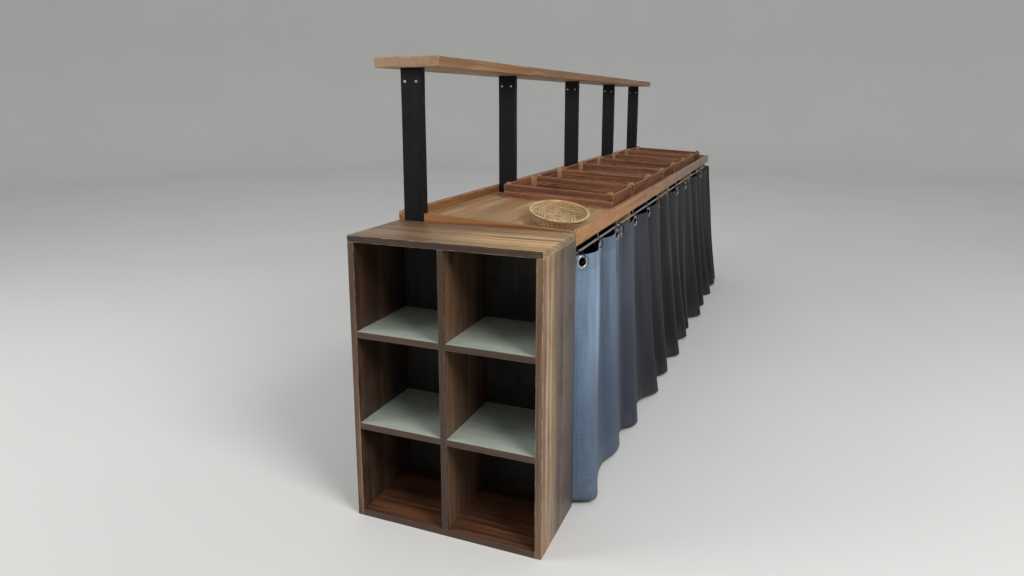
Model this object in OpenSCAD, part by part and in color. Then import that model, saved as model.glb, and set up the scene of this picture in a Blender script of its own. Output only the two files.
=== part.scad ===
// Shop display island: an open shelf unit at the near end of a long counter, whose deck slopes
// down to the aisle and carries produce crates. Five black posts stand behind the crates and
// carry an overhead plank, and cloth skirts hang round the counter from rods under its lips.
// X runs across the island with the aisle side at +X, Y runs back along the counter, Z is up.
// The origin is on the floor, in the middle of the whole outline.

/* [Island] */
// Width of the shelf unit and of the counter
island_w = 750; // [700:10:900]
// Height of the shelf unit and of the counter's aisle lip above the floor
island_h = 1100; // [950:10:1250]
// Length of the counter behind the shelf unit
counter_l = 4000; // [3000:50:5000]

/* [Shelf unit] */
// Depth of the shelf unit from its open front to its back
unit_d = 360; // [300:10:450]
// Thickness of the shelf unit's boards
board_t = 25; // [18:1:30]
// Thickness of the panel that closes its back
back_t = 8; // [4:1:12]

/* [Counter] */
// Thickness of the lip boards round the counter
lip_t = 25; // [15:1:30]
// Height of the lip boards
lip_h = 55; // [35:1:90]
// Thickness of the deck
deck_t = 18; // [12:1:28]
// Slope of the deck down to the aisle, in degrees
deck_slope = 3; // [1:0.5:10]
// Play of the deck round the posts
deck_play = 1; // [0.5:0.5:3]
// Height of the cross bearers at the aisle side
bearer_h = 60; // [40:5:100]
// Width of the short legs at the aisle side, across the island
leg_w = 70; // [50:5:100]

/* [Posts and plank] */
// Height of the posts, which is the underside of the plank
post_h = 1700; // [1500:10:1900]
// Width of the posts across the island
post_w = 90; // [60:5:100]
// Thickness of the posts, legs and bearers along the counter
post_t = 36; // [25:1:50]
// Width of the overhead plank
plank_w = 285; // [200:5:300]
// Thickness of the overhead plank
plank_t = 42; // [30:1:60]
// Reach of the plank past the first and the last post
plank_over = 32; // [10:1:60]
// Gap at the butt joints of the plank and of the deck
butt_gap = 0.6; // [0.4:0.1:0.9]

/* [Crates] */
// Length of a crate, across the island
crate_l = 560; // [450:10:570]
// Width of a crate, along the counter
crate_w = 400; // [300:10:420]
// Height of a crate's sides
crate_h = 70; // [60:1:120]
// Thickness of a crate's sides
crate_side_t = 8; // [5:1:12]
// Thickness of a crate's bottom slats
crate_floor_t = 6; // [4:1:10]
// Width of a crate's corner blocks
crate_block = 26; // [20:1:40]
// Height of the corner blocks above the sides
crate_ear = 10; // [4:1:20]
// Gap between the slats of a crate
slat_gap = 9; // [5:1:14]
// Gap between one crate and the next
crate_gap = 50; // [5:5:90]
// Gap between the aisle lip and the crates, along the deck
crate_inset = 42; // [5:1:44]
// Distance of the first crate from the near end of the counter
crate_first = 800; // [650:10:900]

/* [Basket] */
// Length of the oval basket's rim
basket_l = 540; // [400:10:560]
// Width of the oval basket's rim
basket_w = 260; // [220:10:320]
// Height of the basket
basket_h = 50; // [35:5:110]
// Turn of its long axis away from straight across the island, in degrees
basket_turn = 68; // [0:1:90]
// Gap between the aisle lip and the basket's rim, along the deck
basket_inset = 10; // [5:1:60]
// Thickness of its wall
basket_wall = 7; // [5:1:12]
// Size of its bottom as a share of its rim
basket_taper = 0.82; // [0.7:0.01:0.95]

/* [Skirts] */
// Thickness of the skirts with their soft folds
cloth_t = 6; // [3:0.5:8]
// Greatest reach of the folds at the hem
skirt_flare = 145; // [60:5:160]
// Depth of the folds at the hem as a share of that reach
fold_depth = 0.5; // [0.2:0.05:0.8]
// Distance from one fold to the next
fold_pitch = 400; // [250:10:500]
// Gap between the hem and the floor
hem_gap = 14; // [5:1:40]
// Distance of the cloth's top edge below the middle of its rod
cloth_below = 2; // [1:0.5:3]
// Width of the first cloth at each side of the counter
cloth_near_w = 660; // [500:10:900]
// Width of the second cloth at each side of the counter
cloth_middle_w = 1650; // [1200:10:2200]
// Radius of the skirt's corners at the far end
skirt_corner = 25; // [15:1:40]
// Gap between two cloths
seam_gap = 2; // [1:0.5:5]

/* [Rods] */
// Radius of the rods that carry the skirts
rod_r = 5; // [3:0.5:6]
// Height from a rod's middle to the lip above it
rod_drop = 32; // [20:1:45]
// Thickness of the wire of the screw eyes
eye_wire = 2.4; // [1.5:0.1:3]
// Play of a rod in its screw eyes
eye_play = 0.3; // [0.2:0.1:0.6]
// Distance from one screw eye to the next
eye_pitch = 333; // [250:1:500]
// Distance of the first screw eye from the end of its rod
eye_first = 14; // [10:1:40]

/* [Hidden] */
// Places of the posts along the counter, as shares of the way from the first to the last
POST_PLACES = [0, 0.247, 0.53, 0.776, 1];
POST_COUNT = len(POST_PLACES);
// Posts over which the plank boards meet, and the post under the deck's joint
PLANK_JOINTS = [1, 3];
DECK_JOINT = 2;
PLANKS = ["plank_near", "plank_middle", "plank_far"];
DECKS = ["deck_near", "deck_far"];
SHELF_ROWS = 3;
SHELF_LEVELS = ["lower", "upper"];
SIDES = ["left", "right"];
// Shares of the skirt's height at which it is measured out, from the lip to the hem
SKIRT_ROWS = [0, 0.1, 0.3, 0.6, 1];
// Columns in one fold, and in one rounded corner
FOLD_COLUMNS = 14;
CORNER_COLUMNS = 6;
// How the reach grows from the top of the skirt to its hem
FLARE_POWER = 1.25;
// Share of the reach along a side, from the far corner at 0 to the near end at 1
SIDE_FLARES = [[0, 0.8], [0.2, 1], [0.55, 1], [0.8, 0.62], [1, 0.5]];
// Length over which a side's skirt opens at its near end
NEAR_OPEN = 60;
// How far, and over what length, the folds wander from an even pitch
FOLD_WANDER = 0.12;
WANDER_LENGTH = 1100;
// Share of the small folds between the large ones, and how many there are to a large one
SMALL_FOLDS = 0.25;
SMALL_RATE = 2.7;
// How far the end cloth runs round onto each side
END_WRAP = 150;
SLATS_UP = 2;
SLATS_ACROSS = 4;
// Place of the basket between the near end's lip and the first crate
BASKET_PLACE = 0.45;
touch = 0.3;
ROUND = 48;
RIM_SIDES = 44;

hw = island_w / 2;
lip_in = hw - lip_t;
lip_z = island_h - lip_h;
slope_tan = tan(deck_slope);
// Height of the deck's underside and of its upper face at a place across the island
function deck_under(x) = lip_z + (lip_in - x) * slope_tan;
function deck_top(x) = deck_under(x) + deck_t / cos(deck_slope);

eye_r = rod_r + eye_play + eye_wire / 2;
eye_out = eye_r + eye_wire / 2;
rod_in = lip_t / 2;
skirt_x = hw - rod_in + eye_out + touch;

// Distance of the cloth's top edge below the lip
skirt_drop = rod_drop + cloth_below;

// The skirt's plan, measured from the middle of the far end to the near end of the aisle side
corner_start = skirt_x - skirt_corner;
corner_len = skirt_corner * PI / 2;
skirt_y_over = skirt_x - hw;
side_len = counter_l + skirt_y_over - skirt_corner - touch;
skirt_half = corner_start + corner_len + side_len;
// Length of cloth that the folds use up, which is longer round the corner than at the rod
corner_cloth = (skirt_corner + skirt_flare / 2) * PI / 2;
function cloth_at(s) = s < corner_start ? s
    : s < corner_start + corner_len ? corner_start + (s - corner_start) / corner_len * corner_cloth
    : s - corner_len + corner_cloth;
// The wave of the folds over the length of cloth, at most 1
function fold_wave(q) = (1 - SMALL_FOLDS)
    * cos(360 * (q / fold_pitch - FOLD_WANDER * sin(360 * q / WANDER_LENGTH)))
    + SMALL_FOLDS * cos(360 * SMALL_RATE * q / fold_pitch);
// Outward reach of the folds at a share t of the height, 0 at the rod and 1 at the hem
function reach(s, t) = let (a = abs(s))
    skirt_flare * pow(t, FLARE_POWER) * lookup((a - corner_start - corner_len) / side_len, SIDE_FLARES)
    * sin(90 * min(1, (skirt_half - a) / NEAR_OPEN))
    * (1 - fold_depth * (1 - fold_wave(cloth_at(a))) / 2);
// A fold stands out furthest in the middle of the far end, which sets the outline's length
end_reach = skirt_y_over + cloth_t + reach(0, 1);

y_front = -(unit_d + counter_l + end_reach) / 2;
y_near = y_front + unit_d;
y_end = y_near + counter_l;
post_first = y_near + post_t / 2;
post_last = y_end - lip_t - post_t / 2;
function post_y(i) = post_first + POST_PLACES[i] * (post_last - post_first);
post_x = -lip_in + post_w / 2;

cell_w = (island_w - 3 * board_t) / 2;
cell_h = (island_h - (SHELF_ROWS + 1) * board_t) / SHELF_ROWS;
inner_d = unit_d - back_t;

crate_pitch = crate_w + crate_gap;
crate_count = floor((counter_l - lip_t - crate_first + crate_gap) / crate_pitch);
basket_reach = norm([(basket_l + basket_wall) * cos(basket_turn),
    (basket_w + basket_wall) * sin(basket_turn)]) / 2;
basket_up = basket_inset + basket_reach;
basket_y = y_near + lip_t + (crate_first - lip_t) * BASKET_PLACE;

CRATES = [for (i = [1:crate_count]) str("crate_", i)];
POSTS = [for (i = [1:POST_COUNT]) str("post_", i)];
SHELVES = [for (level = SHELF_LEVELS, side = SIDES) str("shelf_", level, "_", side)];
// Each cloth of a side's skirt: name, then its ends as distances along the skirt's plan
near_s = skirt_half - cloth_near_w;
middle_s = near_s - cloth_middle_w;
end_s = corner_start + corner_len + END_WRAP;
SKIRT_PARTS = [["near", near_s, skirt_half], ["middle", middle_s, near_s - seam_gap],
    ["far", end_s + seam_gap, middle_s - seam_gap]];
SKIRTS = concat([for (side = SIDES, part = SKIRT_PARTS) str("skirt_", side, "_", part[0])],
    ["skirt_end"]);

OAK = "#6b5442";
OAK_LIGHT = "#8f7358";
LIP_WOOD = "#b98d5f";
PLANK_WOOD = "#b88a62";
BLACK = "#17171c";
PALE_WOOD = "#a58a68";
CRATE_WOOD = "#6e4630";
WICKER = "#c9b48a";
STEEL = "#b8bcc0";
DENIM = "#5f7896";
CHARCOAL = "#3a3a40";

// A block from its lowest to its highest corner
module block(low, high) {
    translate(low) cube(high - low);
}

// Shelf unit: two upright sides, a top over them, and a base, a divider and shelves between them
module unit_side(side) {
    x = side == "left" ? -hw : hw - board_t;
    color(OAK_LIGHT) block([x, y_front, 0], [x + board_t, y_near, island_h - board_t]);
}

module unit_top() {
    color(OAK_LIGHT) block([-hw, y_front, island_h - board_t], [hw, y_near, island_h]);
}

module unit_base() {
    color(OAK) block([board_t - hw, y_front, 0], [hw - board_t, y_front + inner_d, board_t]);
}

module unit_divider() {
    color(OAK) block([-board_t / 2, y_front, board_t],
        [board_t / 2, y_front + inner_d, island_h - board_t]);
}

module unit_shelf(level, side) {
    x = side == "left" ? board_t - hw : board_t / 2;
    z = (level == "lower" ? 1 : 2) * (cell_h + board_t);
    color(OAK) block([x, y_front, z], [x + cell_w, y_front + inner_d, z + board_t]);
}

module unit_back() {
    color(BLACK) block([board_t - hw, y_front + inner_d, 0],
        [hw - board_t, y_near, island_h - board_t]);
}

// Lip boards: one along each side, and one across each end that follows the deck's slope
module lip_aisle() {
    color(LIP_WOOD) block([lip_in, y_near, lip_z], [hw, y_end, island_h]);
}

module lip_rear() {
    z = deck_under(-lip_in);
    color(LIP_WOOD) block([-hw, y_near, z], [-lip_in, y_end, z + lip_h]);
}

// A profile of the island's cross section, between two places along the counter
module across(profile, y_from, y_to) {
    translate([0, y_to, 0]) rotate([90, 0, 0]) linear_extrude(y_to - y_from) polygon(profile);
}

module lip_end(y) {
    z_rear = deck_under(-lip_in);
    color(LIP_WOOD) difference() {
        across([[lip_in, lip_z], [lip_in, island_h], [-lip_in, z_rear + lip_h],
            [-lip_in, z_rear]], y, y + lip_t);
        if (y < y_near + lip_t) posts_room();
    }
}

// Room that the posts need in the deck and in the near end's lip
module posts_room() {
    for (i = [0:POST_COUNT - 1])
        block([-hw - deck_play, post_y(i) - post_t / 2 - deck_play, 0],
            [post_x + post_w / 2 + deck_play, post_y(i) + post_t / 2 + deck_play, post_h]);
}

// Deck: a sloping board in two lengths, notched round the posts
module deck(part) {
    y_joint = post_y(DECK_JOINT);
    y_from = part == 0 ? y_near + lip_t : y_joint + butt_gap / 2;
    y_to = part == 0 ? y_joint - butt_gap / 2 : y_end - lip_t;
    color(PALE_WOOD) difference() {
        across([[lip_in, deck_under(lip_in)], [lip_in, deck_top(lip_in)],
            [-lip_in, deck_top(-lip_in)], [-lip_in, deck_under(-lip_in)]], y_from, y_to);
        posts_room();
    }
}

// Bearers carry the deck from each post to its aisle leg
module cross_bearers() {
    x_post = post_x + post_w / 2;
    z = lip_z - bearer_h;
    color(PALE_WOOD) for (i = [0:POST_COUNT - 1])
        across([[lip_in, z], [lip_in, deck_under(lip_in)], [x_post, deck_under(x_post)],
            [x_post, z]], post_y(i) - post_t / 2, post_y(i) + post_t / 2);
}

module aisle_legs() {
    color(PALE_WOOD) for (i = [0:POST_COUNT - 1])
        block([lip_in - leg_w, post_y(i) - post_t / 2, 0],
            [lip_in, post_y(i) + post_t / 2, lip_z - bearer_h]);
}

// Posts stand on the floor behind the crates and carry the plank
module post(i) {
    color(BLACK) block([post_x - post_w / 2, post_y(i) - post_t / 2, 0],
        [post_x + post_w / 2, post_y(i) + post_t / 2, post_h]);
}

module plank(part) {
    y_from = part == 0 ? post_first - post_t / 2 - plank_over
        : post_y(PLANK_JOINTS[part - 1]) + butt_gap / 2;
    y_to = part == len(PLANKS) - 1 ? post_last + post_t / 2 + plank_over
        : post_y(PLANK_JOINTS[part]) - butt_gap / 2;
    color(PLANK_WOOD) block([post_x - plank_w / 2, y_from, post_h],
        [post_x + plank_w / 2, y_to, post_h + plank_t]);
}

// What stands on the deck: its own X runs up the slope from the aisle lip
module on_deck(distance, y) {
    translate([lip_in, y, deck_top(lip_in)]) rotate([0, deck_slope, 0])
        translate([-distance, 0, 0]) children();
}

// Crate: slatted long sides, boarded ends, a slatted bottom and blocks in the corners
module crate(i) {
    slat_h = (crate_h - crate_floor_t - (SLATS_UP - 1) * slat_gap) / SLATS_UP;
    floor_w = (crate_w - (SLATS_ACROSS - 1) * slat_gap) / SLATS_ACROSS;
    y = y_near + crate_first + (i - 1) * crate_pitch;
    color(CRATE_WOOD) on_deck(crate_inset + crate_l, y) {
        for (n = [0:SLATS_ACROSS - 1]) {
            from = n * (floor_w + slat_gap);
            block([0, from, 0], [crate_l, from + floor_w, crate_floor_t]);
        }
        for (x = [0, crate_l - crate_side_t])
            block([x, 0, 0], [x + crate_side_t, crate_w, crate_h]);
        for (side = [0, crate_w - crate_side_t], n = [0:SLATS_UP - 1]) {
            z = crate_floor_t + n * (slat_h + slat_gap);
            block([0, side, z], [crate_l, side + crate_side_t, z + slat_h]);
        }
        for (mx = [0, 1], my = [0, 1])
            translate([mx * crate_l, my * crate_w, 0]) mirror([mx, 0, 0]) mirror([0, my, 0])
                linear_extrude(crate_h + crate_ear)
                    polygon([[0, 0], [crate_block, 0], [0, crate_block]]);
    }
}

// Oval basket: a tapered shell with a rolled rim, wider at the top than at the bottom
module oval(length, width) {
    scale([length / width, 1]) circle(d = width, $fn = RIM_SIDES);
}

module oval_basket() {
    rim = 2 * basket_wall;
    color(WICKER) on_deck(basket_up, basket_y) rotate([0, 0, -basket_turn]) difference() {
        union() {
            linear_extrude(basket_h, scale = 1 / basket_taper)
                oval(basket_l * basket_taper, basket_w * basket_taper);
            translate([0, 0, basket_h - rim]) linear_extrude(rim)
                oval(basket_l + basket_wall, basket_w + basket_wall);
        }
        translate([0, 0, basket_wall]) linear_extrude(basket_h, scale = 1 / basket_taper)
            oval(basket_l * basket_taper - 2 * basket_wall,
                basket_w * basket_taper - 2 * basket_wall);
    }
}

// Rods hang under the lips, in screw eyes
module rod(length) {
    rotate([-90, 0, 0]) cylinder(h = length, r = rod_r, $fn = ROUND);
}

module skirt_rods() {
    rod_x = hw - rod_in;
    rear_z = deck_under(-lip_in) - rod_drop;
    end_l = 2 * (lip_in - eye_out) / cos(deck_slope);
    color(STEEL) {
        translate([rod_x, y_near + touch, lip_z - rod_drop]) rod(counter_l - lip_t - touch);
        translate([-rod_x, y_near + touch, rear_z]) rod(counter_l - lip_t - touch);
        translate([0, y_end - rod_in, deck_under(0) - rod_drop]) rotate([0, deck_slope, 0])
            translate([-end_l / 2, 0, 0]) rotate([0, 0, -90]) rod(end_l);
    }
}

// A screw eye round a rod that runs along Y, with its shank up into the lip
module screw_eye(shank) {
    rotate([90, 0, 0]) rotate_extrude($fn = ROUND)
        translate([eye_r, 0]) circle(d = eye_wire, $fn = ROUND / 2);
    translate([0, 0, eye_r]) cylinder(h = shank - eye_r, d = eye_wire, $fn = ROUND / 2);
}

module screw_eyes() {
    side_count = floor((counter_l - lip_t - 2 * eye_first) / eye_pitch);
    end_l = 2 * (lip_in - eye_out) - 2 * eye_first;
    end_count = floor(end_l / eye_pitch);
    color(STEEL) {
        for (i = [0:side_count], side = [-1, 1])
            translate([side * (hw - rod_in), y_near + eye_first + i * eye_pitch,
                (side > 0 ? lip_z : deck_under(-lip_in)) - rod_drop]) screw_eye(rod_drop);
        for (i = [0:end_count])
            translate([(i - end_count / 2) * eye_pitch, y_end - rod_in, 0])
                translate([0, 0, deck_under((i - end_count / 2) * eye_pitch) - rod_drop])
                    rotate([0, deck_slope, 0]) rotate([0, 0, 90]) screw_eye(rod_drop);
    }
}

// Skirts: each cloth is a sheet that hangs from its rod and opens into folds towards the hem
// A place on the skirt's plan: x, y and the outward direction
function plan(s) = let (a = abs(s), m = s < 0 ? -1 : 1, y = y_end + skirt_y_over)
    a < corner_start ? [s, y, 0, 1]
    : a < corner_start + corner_len
        ? let (turn = (a - corner_start) / corner_len * 90)
            [m * (corner_start + skirt_corner * sin(turn)),
                y - skirt_corner * (1 - cos(turn)), m * sin(turn), cos(turn)]
        : [m * skirt_x, y - skirt_corner - (a - corner_start - corner_len), m, 0];
function sheet_point(s, t, out) = let (p = plan(s), o = reach(s, t) + out,
        z_top = deck_under(max(-lip_in, min(lip_in, p.x))) - skirt_drop)
    [p.x + p[2] * o, p.y + p[3] * o, z_top * (1 - t) + hem_gap * t];

// Columns of a cloth between two distances: even steps on the straights, finer on the corner
fold_step = fold_pitch / FOLD_COLUMNS;
function steps(from, to, size) = let (n = max(1, ceil((to - from) / size)))
    [for (i = [0:n - 1]) from + (to - from) * i / n];
function side_columns(from, to) = concat(steps(from, to, fold_step), [to]);
function end_columns() = let (corner_end = corner_start + corner_len,
        half = concat(steps(0, corner_start, fold_step),
            steps(corner_start, corner_end, corner_len / CORNER_COLUMNS),
            side_columns(corner_end, end_s)))
    concat([for (i = [len(half) - 1:-1:1]) -half[i]], half);

module cloth(columns) {
    rows = len(SKIRT_ROWS);
    ring = 2 * rows;
    last = len(columns) - 1;
    points = [for (s = columns, r = [0:ring - 1])
        r < rows ? sheet_point(s, SKIRT_ROWS[r], 0)
            : sheet_point(s, SKIRT_ROWS[ring - 1 - r], cloth_t)];
    walls = [for (c = [0:last - 1], r = [0:ring - 1])
        let (a = c * ring + r, b = c * ring + (r + 1) % ring) each [[a, b, a + ring],
            [b, b + ring, a + ring]]];
    caps = [for (r = [0:rows - 2]) let (o = ring - 1 - r, e = last * ring)
        each [[r + 1, r, o], [r + 1, o, o - 1], [e + r, e + r + 1, e + o],
            [e + r + 1, e + o - 1, e + o]]];
    polyhedron(points, concat(walls, caps), convexity = 8);
}

module skirt_side(side, part) {
    columns = side_columns(part[1], part[2]);
    color(part[0] == "near" ? DENIM : CHARCOAL)
        cloth(side == "left" ? [for (i = [len(columns) - 1:-1:0]) -columns[i]] : columns);
}

module skirt_end() {
    color(CHARCOAL) cloth(end_columns());
}

for (side = SIDES) unit_side(side);
unit_top();
unit_base();
unit_divider();
for (level = SHELF_LEVELS, side = SIDES)
    unit_shelf(level, side);
unit_back();
lip_aisle();
lip_rear();
lip_end(y_near);  // lip_near_end
lip_end(y_end - lip_t);  // lip_far_end
for (i = [0:len(DECKS) - 1]) deck(i);
cross_bearers();
aisle_legs();
for (i = [0:POST_COUNT - 1]) post(i);
for (i = [0:len(PLANKS) - 1]) plank(i);
for (i = [1:crate_count]) crate(i);
oval_basket();
skirt_rods();
screw_eyes();
for (side = SIDES, part = SKIRT_PARTS)
    skirt_side(side, part);
skirt_end();
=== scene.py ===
# %% [markdown]
# A shop display island: an open shelf unit, then a long produce counter with cloth skirts and a
# plank overhead on black posts. The construction comes from the imported model, and this lesson
# dresses it: boards with worn edges, crates, a willow basket, hung cloth and small fittings.
# We load the construction first.
# The dressed island may not outgrow it.

# %% Load the construction
import math
import bpy
import numpy as np
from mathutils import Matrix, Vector


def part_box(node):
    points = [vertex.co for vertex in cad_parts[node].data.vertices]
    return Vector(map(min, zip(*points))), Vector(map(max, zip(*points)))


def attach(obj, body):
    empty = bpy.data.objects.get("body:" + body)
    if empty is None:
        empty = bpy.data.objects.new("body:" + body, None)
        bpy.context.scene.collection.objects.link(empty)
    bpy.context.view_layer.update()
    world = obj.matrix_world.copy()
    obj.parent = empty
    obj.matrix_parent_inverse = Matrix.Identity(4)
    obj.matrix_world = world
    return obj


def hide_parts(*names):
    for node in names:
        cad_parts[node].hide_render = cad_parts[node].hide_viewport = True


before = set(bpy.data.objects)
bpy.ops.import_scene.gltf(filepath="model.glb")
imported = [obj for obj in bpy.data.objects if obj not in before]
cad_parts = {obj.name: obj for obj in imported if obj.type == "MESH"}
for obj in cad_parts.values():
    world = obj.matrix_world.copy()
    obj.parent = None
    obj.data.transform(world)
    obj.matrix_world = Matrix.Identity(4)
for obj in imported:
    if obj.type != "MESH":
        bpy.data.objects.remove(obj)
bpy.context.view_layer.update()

# %% [markdown]
# The camera stands a step in front of the shelf unit's right corner, at eye height. A camera that
# tips down makes uprights lean together, so it tips only a little, and a small shift of the lens
# brings the foot of the island into the frame instead.

# %% Camera
EYE = (1.1038, -4.30165, 1.5733)
AIM = (0.12, -1.87875, 1.085)


def set_and_aim(thing, at, aim):
    """Sets a camera or lamp at a place and turns its own -Z, the way it looks, towards aim."""
    thing.location = at
    thing.rotation_euler = (Vector(aim) - Vector(at)).to_track_quat("-Z", "Y").to_euler()
    bpy.context.collection.objects.link(thing)


camera = bpy.data.objects.new("customer_eye", bpy.data.cameras.new("customer_eye"))
set_and_aim(camera, EYE, AIM)
camera.data.lens, camera.data.shift_y, camera.data.clip_end = 24.6, -0.055, 80
bpy.context.scene.camera = camera
print("camera looks", [round(math.degrees(a), 2) for a in camera.rotation_euler])

# %% [markdown]
# Every new piece is a grid of points that numpy works out at once. A few helpers give the faces of
# such grids, turn arrays into a mesh, and write what the materials need to know at each point, for
# example how far it is from the nearest arris. In one place, they keep each later step short.

# %% Grids of faces
UP = np.array([0.0, 0, 1])


def lattice(rows, columns, closed=True, looped=False):
    """Four-sided faces between neighbouring points of a grid that is stored row by row. A closed
    grid joins its last column to its first, and a looped one its last row to its first."""
    r, c = np.indices((rows if looped else rows - 1, columns if closed else columns - 1)).reshape(2, -1)
    s, d = (r + 1) % rows, (c + 1) % columns
    return np.stack([r * columns + c, r * columns + d, s * columns + d, s * columns + c], 1)


def capped(rows, columns):
    """Faces of a closed grid with a fan at each end. The fans' two middle points follow the grid:
    first the one at its first row, then the one at its last."""
    j = np.arange(columns)
    k, pole, last = (j + 1) % columns, np.full(columns, rows * columns), (rows - 1) * columns
    fans = [np.stack([pole, k, j], 1), np.stack([pole + 1, last + j, last + k], 1)]
    return [lattice(rows, columns), np.concatenate(fans)]


def copies(faces, count, size):
    """The same faces for so many equal parts, which follow each other with so many points each."""
    start = (np.arange(count) * size)[:, None, None]
    return [(group + start).reshape(-1, group.shape[1]) for group in faces]


def round_angles(count):
    return np.arange(count) / count * 2 * np.pi


def unit(vectors):
    return vectors / np.linalg.norm(vectors, axis=-1, keepdims=True)


print("a square grid of 3 by 3 points has", len(lattice(3, 3, closed=False)), "faces")

# %% From arrays to a piece
def mesh_object(name, points, faces, materials):
    """Shows points and faces as a smooth mesh. Faces is a list of arrays, one for each number of
    sides."""
    mesh = bpy.data.meshes.new(name)
    mesh.from_pydata(points, [], [face for group in faces for face in group.tolist()])
    mesh.polygons.foreach_set("use_smooth", np.ones(len(mesh.polygons), bool))
    for material in materials:
        mesh.materials.append(material)
    thing = bpy.data.objects.new(name, mesh)
    bpy.context.collection.objects.link(thing)
    return thing


def make_piece(name, points, faces, materials, slot, marks=(), face_material=None, hides=()):
    """A piece that rides on the island's body, with marks (name: values at each point) for its
    materials, the number of each face's material, and the nodes that it stands for."""
    piece = mesh_object(name, points, faces, materials)
    for key, values in dict(marks).items():
        kind, field = ("FLOAT_VECTOR", "vector") if values.ndim == 2 else ("FLOAT", "value")
        layer = piece.data.attributes.new(key, kind, "POINT")
        layer.data.foreach_set(field, values.astype(np.float32).ravel())
    if face_material is not None:
        piece.data.polygons.foreach_set("material_index", np.asarray(face_material, np.int32))
    piece.data.update()
    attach(piece, "root")
    if hides:
        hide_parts(*hides)
    return piece


def join_parts(parts):
    """Joins parts, each (points, list of faces, marks), into one set of arrays."""
    counts = np.cumsum([0] + [len(points) for points, _, _ in parts])
    moved = [group + start for (_, faces, _), start in zip(parts, counts) for group in faces]
    alike = [[group for group in moved if group.shape[1] == sides] for sides in (4, 3)]
    marks = {key: np.concatenate([part[2][key] for part in parts]) for key in parts[0][2]}
    return np.concatenate([part[0] for part in parts]), [np.concatenate(g) for g in alike if g], marks


trial = join_parts([(np.zeros((4, 3)), [lattice(2, 2, closed=False)], {})] * 2)
print("two squares joined have", len(trial[0]), "points and", len(trial[1][0]), "faces")

# %% [markdown]
# A sawn and planed board is a block whose arrises are slightly rounded. A cube with a bevel would
# do, but then its grain would have no direction. We carry a rounded rectangle along the board
# instead, draw it in at both ends, and note at each point its place in the board (across its width,
# through it and along it) for the grain, and how far it is from an arris, where polish wears off.

# %% A board's profile
EDGE_STEPS = np.array([0, 0.004, 0.012, 0.03])


def spots(width, steps):
    """Places across a face of this width, crowded towards its two edges."""
    near = steps[steps < 0.45 * width]
    return np.concatenate([near, width - near[::-1]])


def rounded_profile(half_a, half_b, steps, turns):
    """Points round the core rectangle, and the outward direction at each. The points of a corner
    share one place on the core, and their directions turn through a right angle."""
    core, out = [], []
    for k in range(4):
        angle = k * np.pi / 2
        normal, run = np.array([np.sin(angle), -np.cos(angle)]), np.array([np.cos(angle), np.sin(angle)])
        half, away = (half_a, half_b) if k % 2 == 0 else (half_b, half_a)
        place = spots(2 * half, steps) - half
        bend = angle + np.arange(1, turns) / turns * np.pi / 2
        core += [place[:, None] * run + away * normal, np.tile(half * run + away * normal, (turns - 1, 1))]
        out += [np.tile(normal, (len(place), 1)), np.stack([np.sin(bend), -np.cos(bend)], 1)]
    return np.concatenate(core), np.concatenate(out)


print("the profile of a 100 by 20 mm board has", len(rounded_profile(0.05, 0.01, EDGE_STEPS, 3)[0]), "points")

# %% Boards
WAVE_LENGTH, WAVE_DEPTH, EDGE_REACH = 0.31, 0.3, 0.03
SEED_SHIFT = np.array([0.37, 0.61, 1.9])


def board_shape(low, high, along, radius, seed=0.0, steps=EDGE_STEPS, turns=3, rest=0.22):
    """A point is the core rectangle plus the radius times the outward direction, and the radius
    is drawn in by a quarter circle at each end and by a slow wave along the board."""
    low, high = np.array(low, float), np.array(high, float)
    turned = [(along + k) % 3 for k in (1, 2, 3)]
    width_a, width_b, length = (high - low)[turned]
    core, out = rounded_profile(width_a / 2 - radius, width_b / 2 - radius, steps, turns)
    inner = spots(length - 2 * radius, steps)
    if length > 3 * rest:
        inner = np.sort(np.concatenate([inner, np.arange(rest, length - rest / 2, rest)]))
    ease = np.arange(turns) / turns * np.pi / 2
    end = radius * (1 - np.cos(ease))
    z = np.concatenate([end, radius + inner, length - end[::-1]])
    draw = np.concatenate([np.sin(ease), np.ones(len(inner)), np.sin(ease[::-1])])
    wave = 0.5 + 0.5 * np.sin(2 * np.pi * z / WAVE_LENGTH + 7 * seed)
    draw *= 1 - WAVE_DEPTH * wave * (draw > 0.99)
    plane = core + radius * draw[:, None, None] * out
    plane = np.concatenate([core[None] * 0.5, plane, core[None] * 0.5])
    z = np.broadcast_to(np.concatenate([[0], z, [length]])[:, None, None], plane.shape[:2] + (1,))
    points = np.concatenate([np.concatenate([plane, z], 2).reshape(-1, 3), [[0, 0, 0], [0, 0, length]]])
    to_faces = np.array([width_a, width_b, length]) / 2 - np.abs(points - [0, 0, length / 2])
    second = np.sort(np.maximum(to_faces, 0), 1)[:, 1]
    wide_first = points if width_a > width_b else points[:, [1, 0, 2]]
    world = np.empty_like(points)
    world[:, turned] = points
    world += np.where(np.arange(3) == along, low, (low + high) / 2)
    return world, capped(*plane.shape[:2]), {"grain": wide_first + seed * SEED_SHIFT,
                                             "edge": np.minimum(second, EDGE_REACH)}


trial = board_shape((0, 0, 0), (1, 0.1, 0.02), 0, 0.002)
print("a one metre board has", len(trial[0]), "points")

# %% [markdown]
# Materials are graphs of nodes. Writing every node by hand takes many lines, so small helpers add
# a node, do a sum or lay one colour over another. An effect that several finishes use becomes a
# node group: a small graph with named inputs and outputs, made once and placed where it is wanted.

# %% Node helpers
def feed(tree, node, inputs):
    """Sets inputs, by name or place: a socket is linked, a number or a colour is put in."""
    for key, value in dict(inputs).items():
        if isinstance(value, bpy.types.NodeSocket):
            tree.links.new(value, node.inputs[key])
        else:
            node.inputs[key].default_value = value


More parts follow.
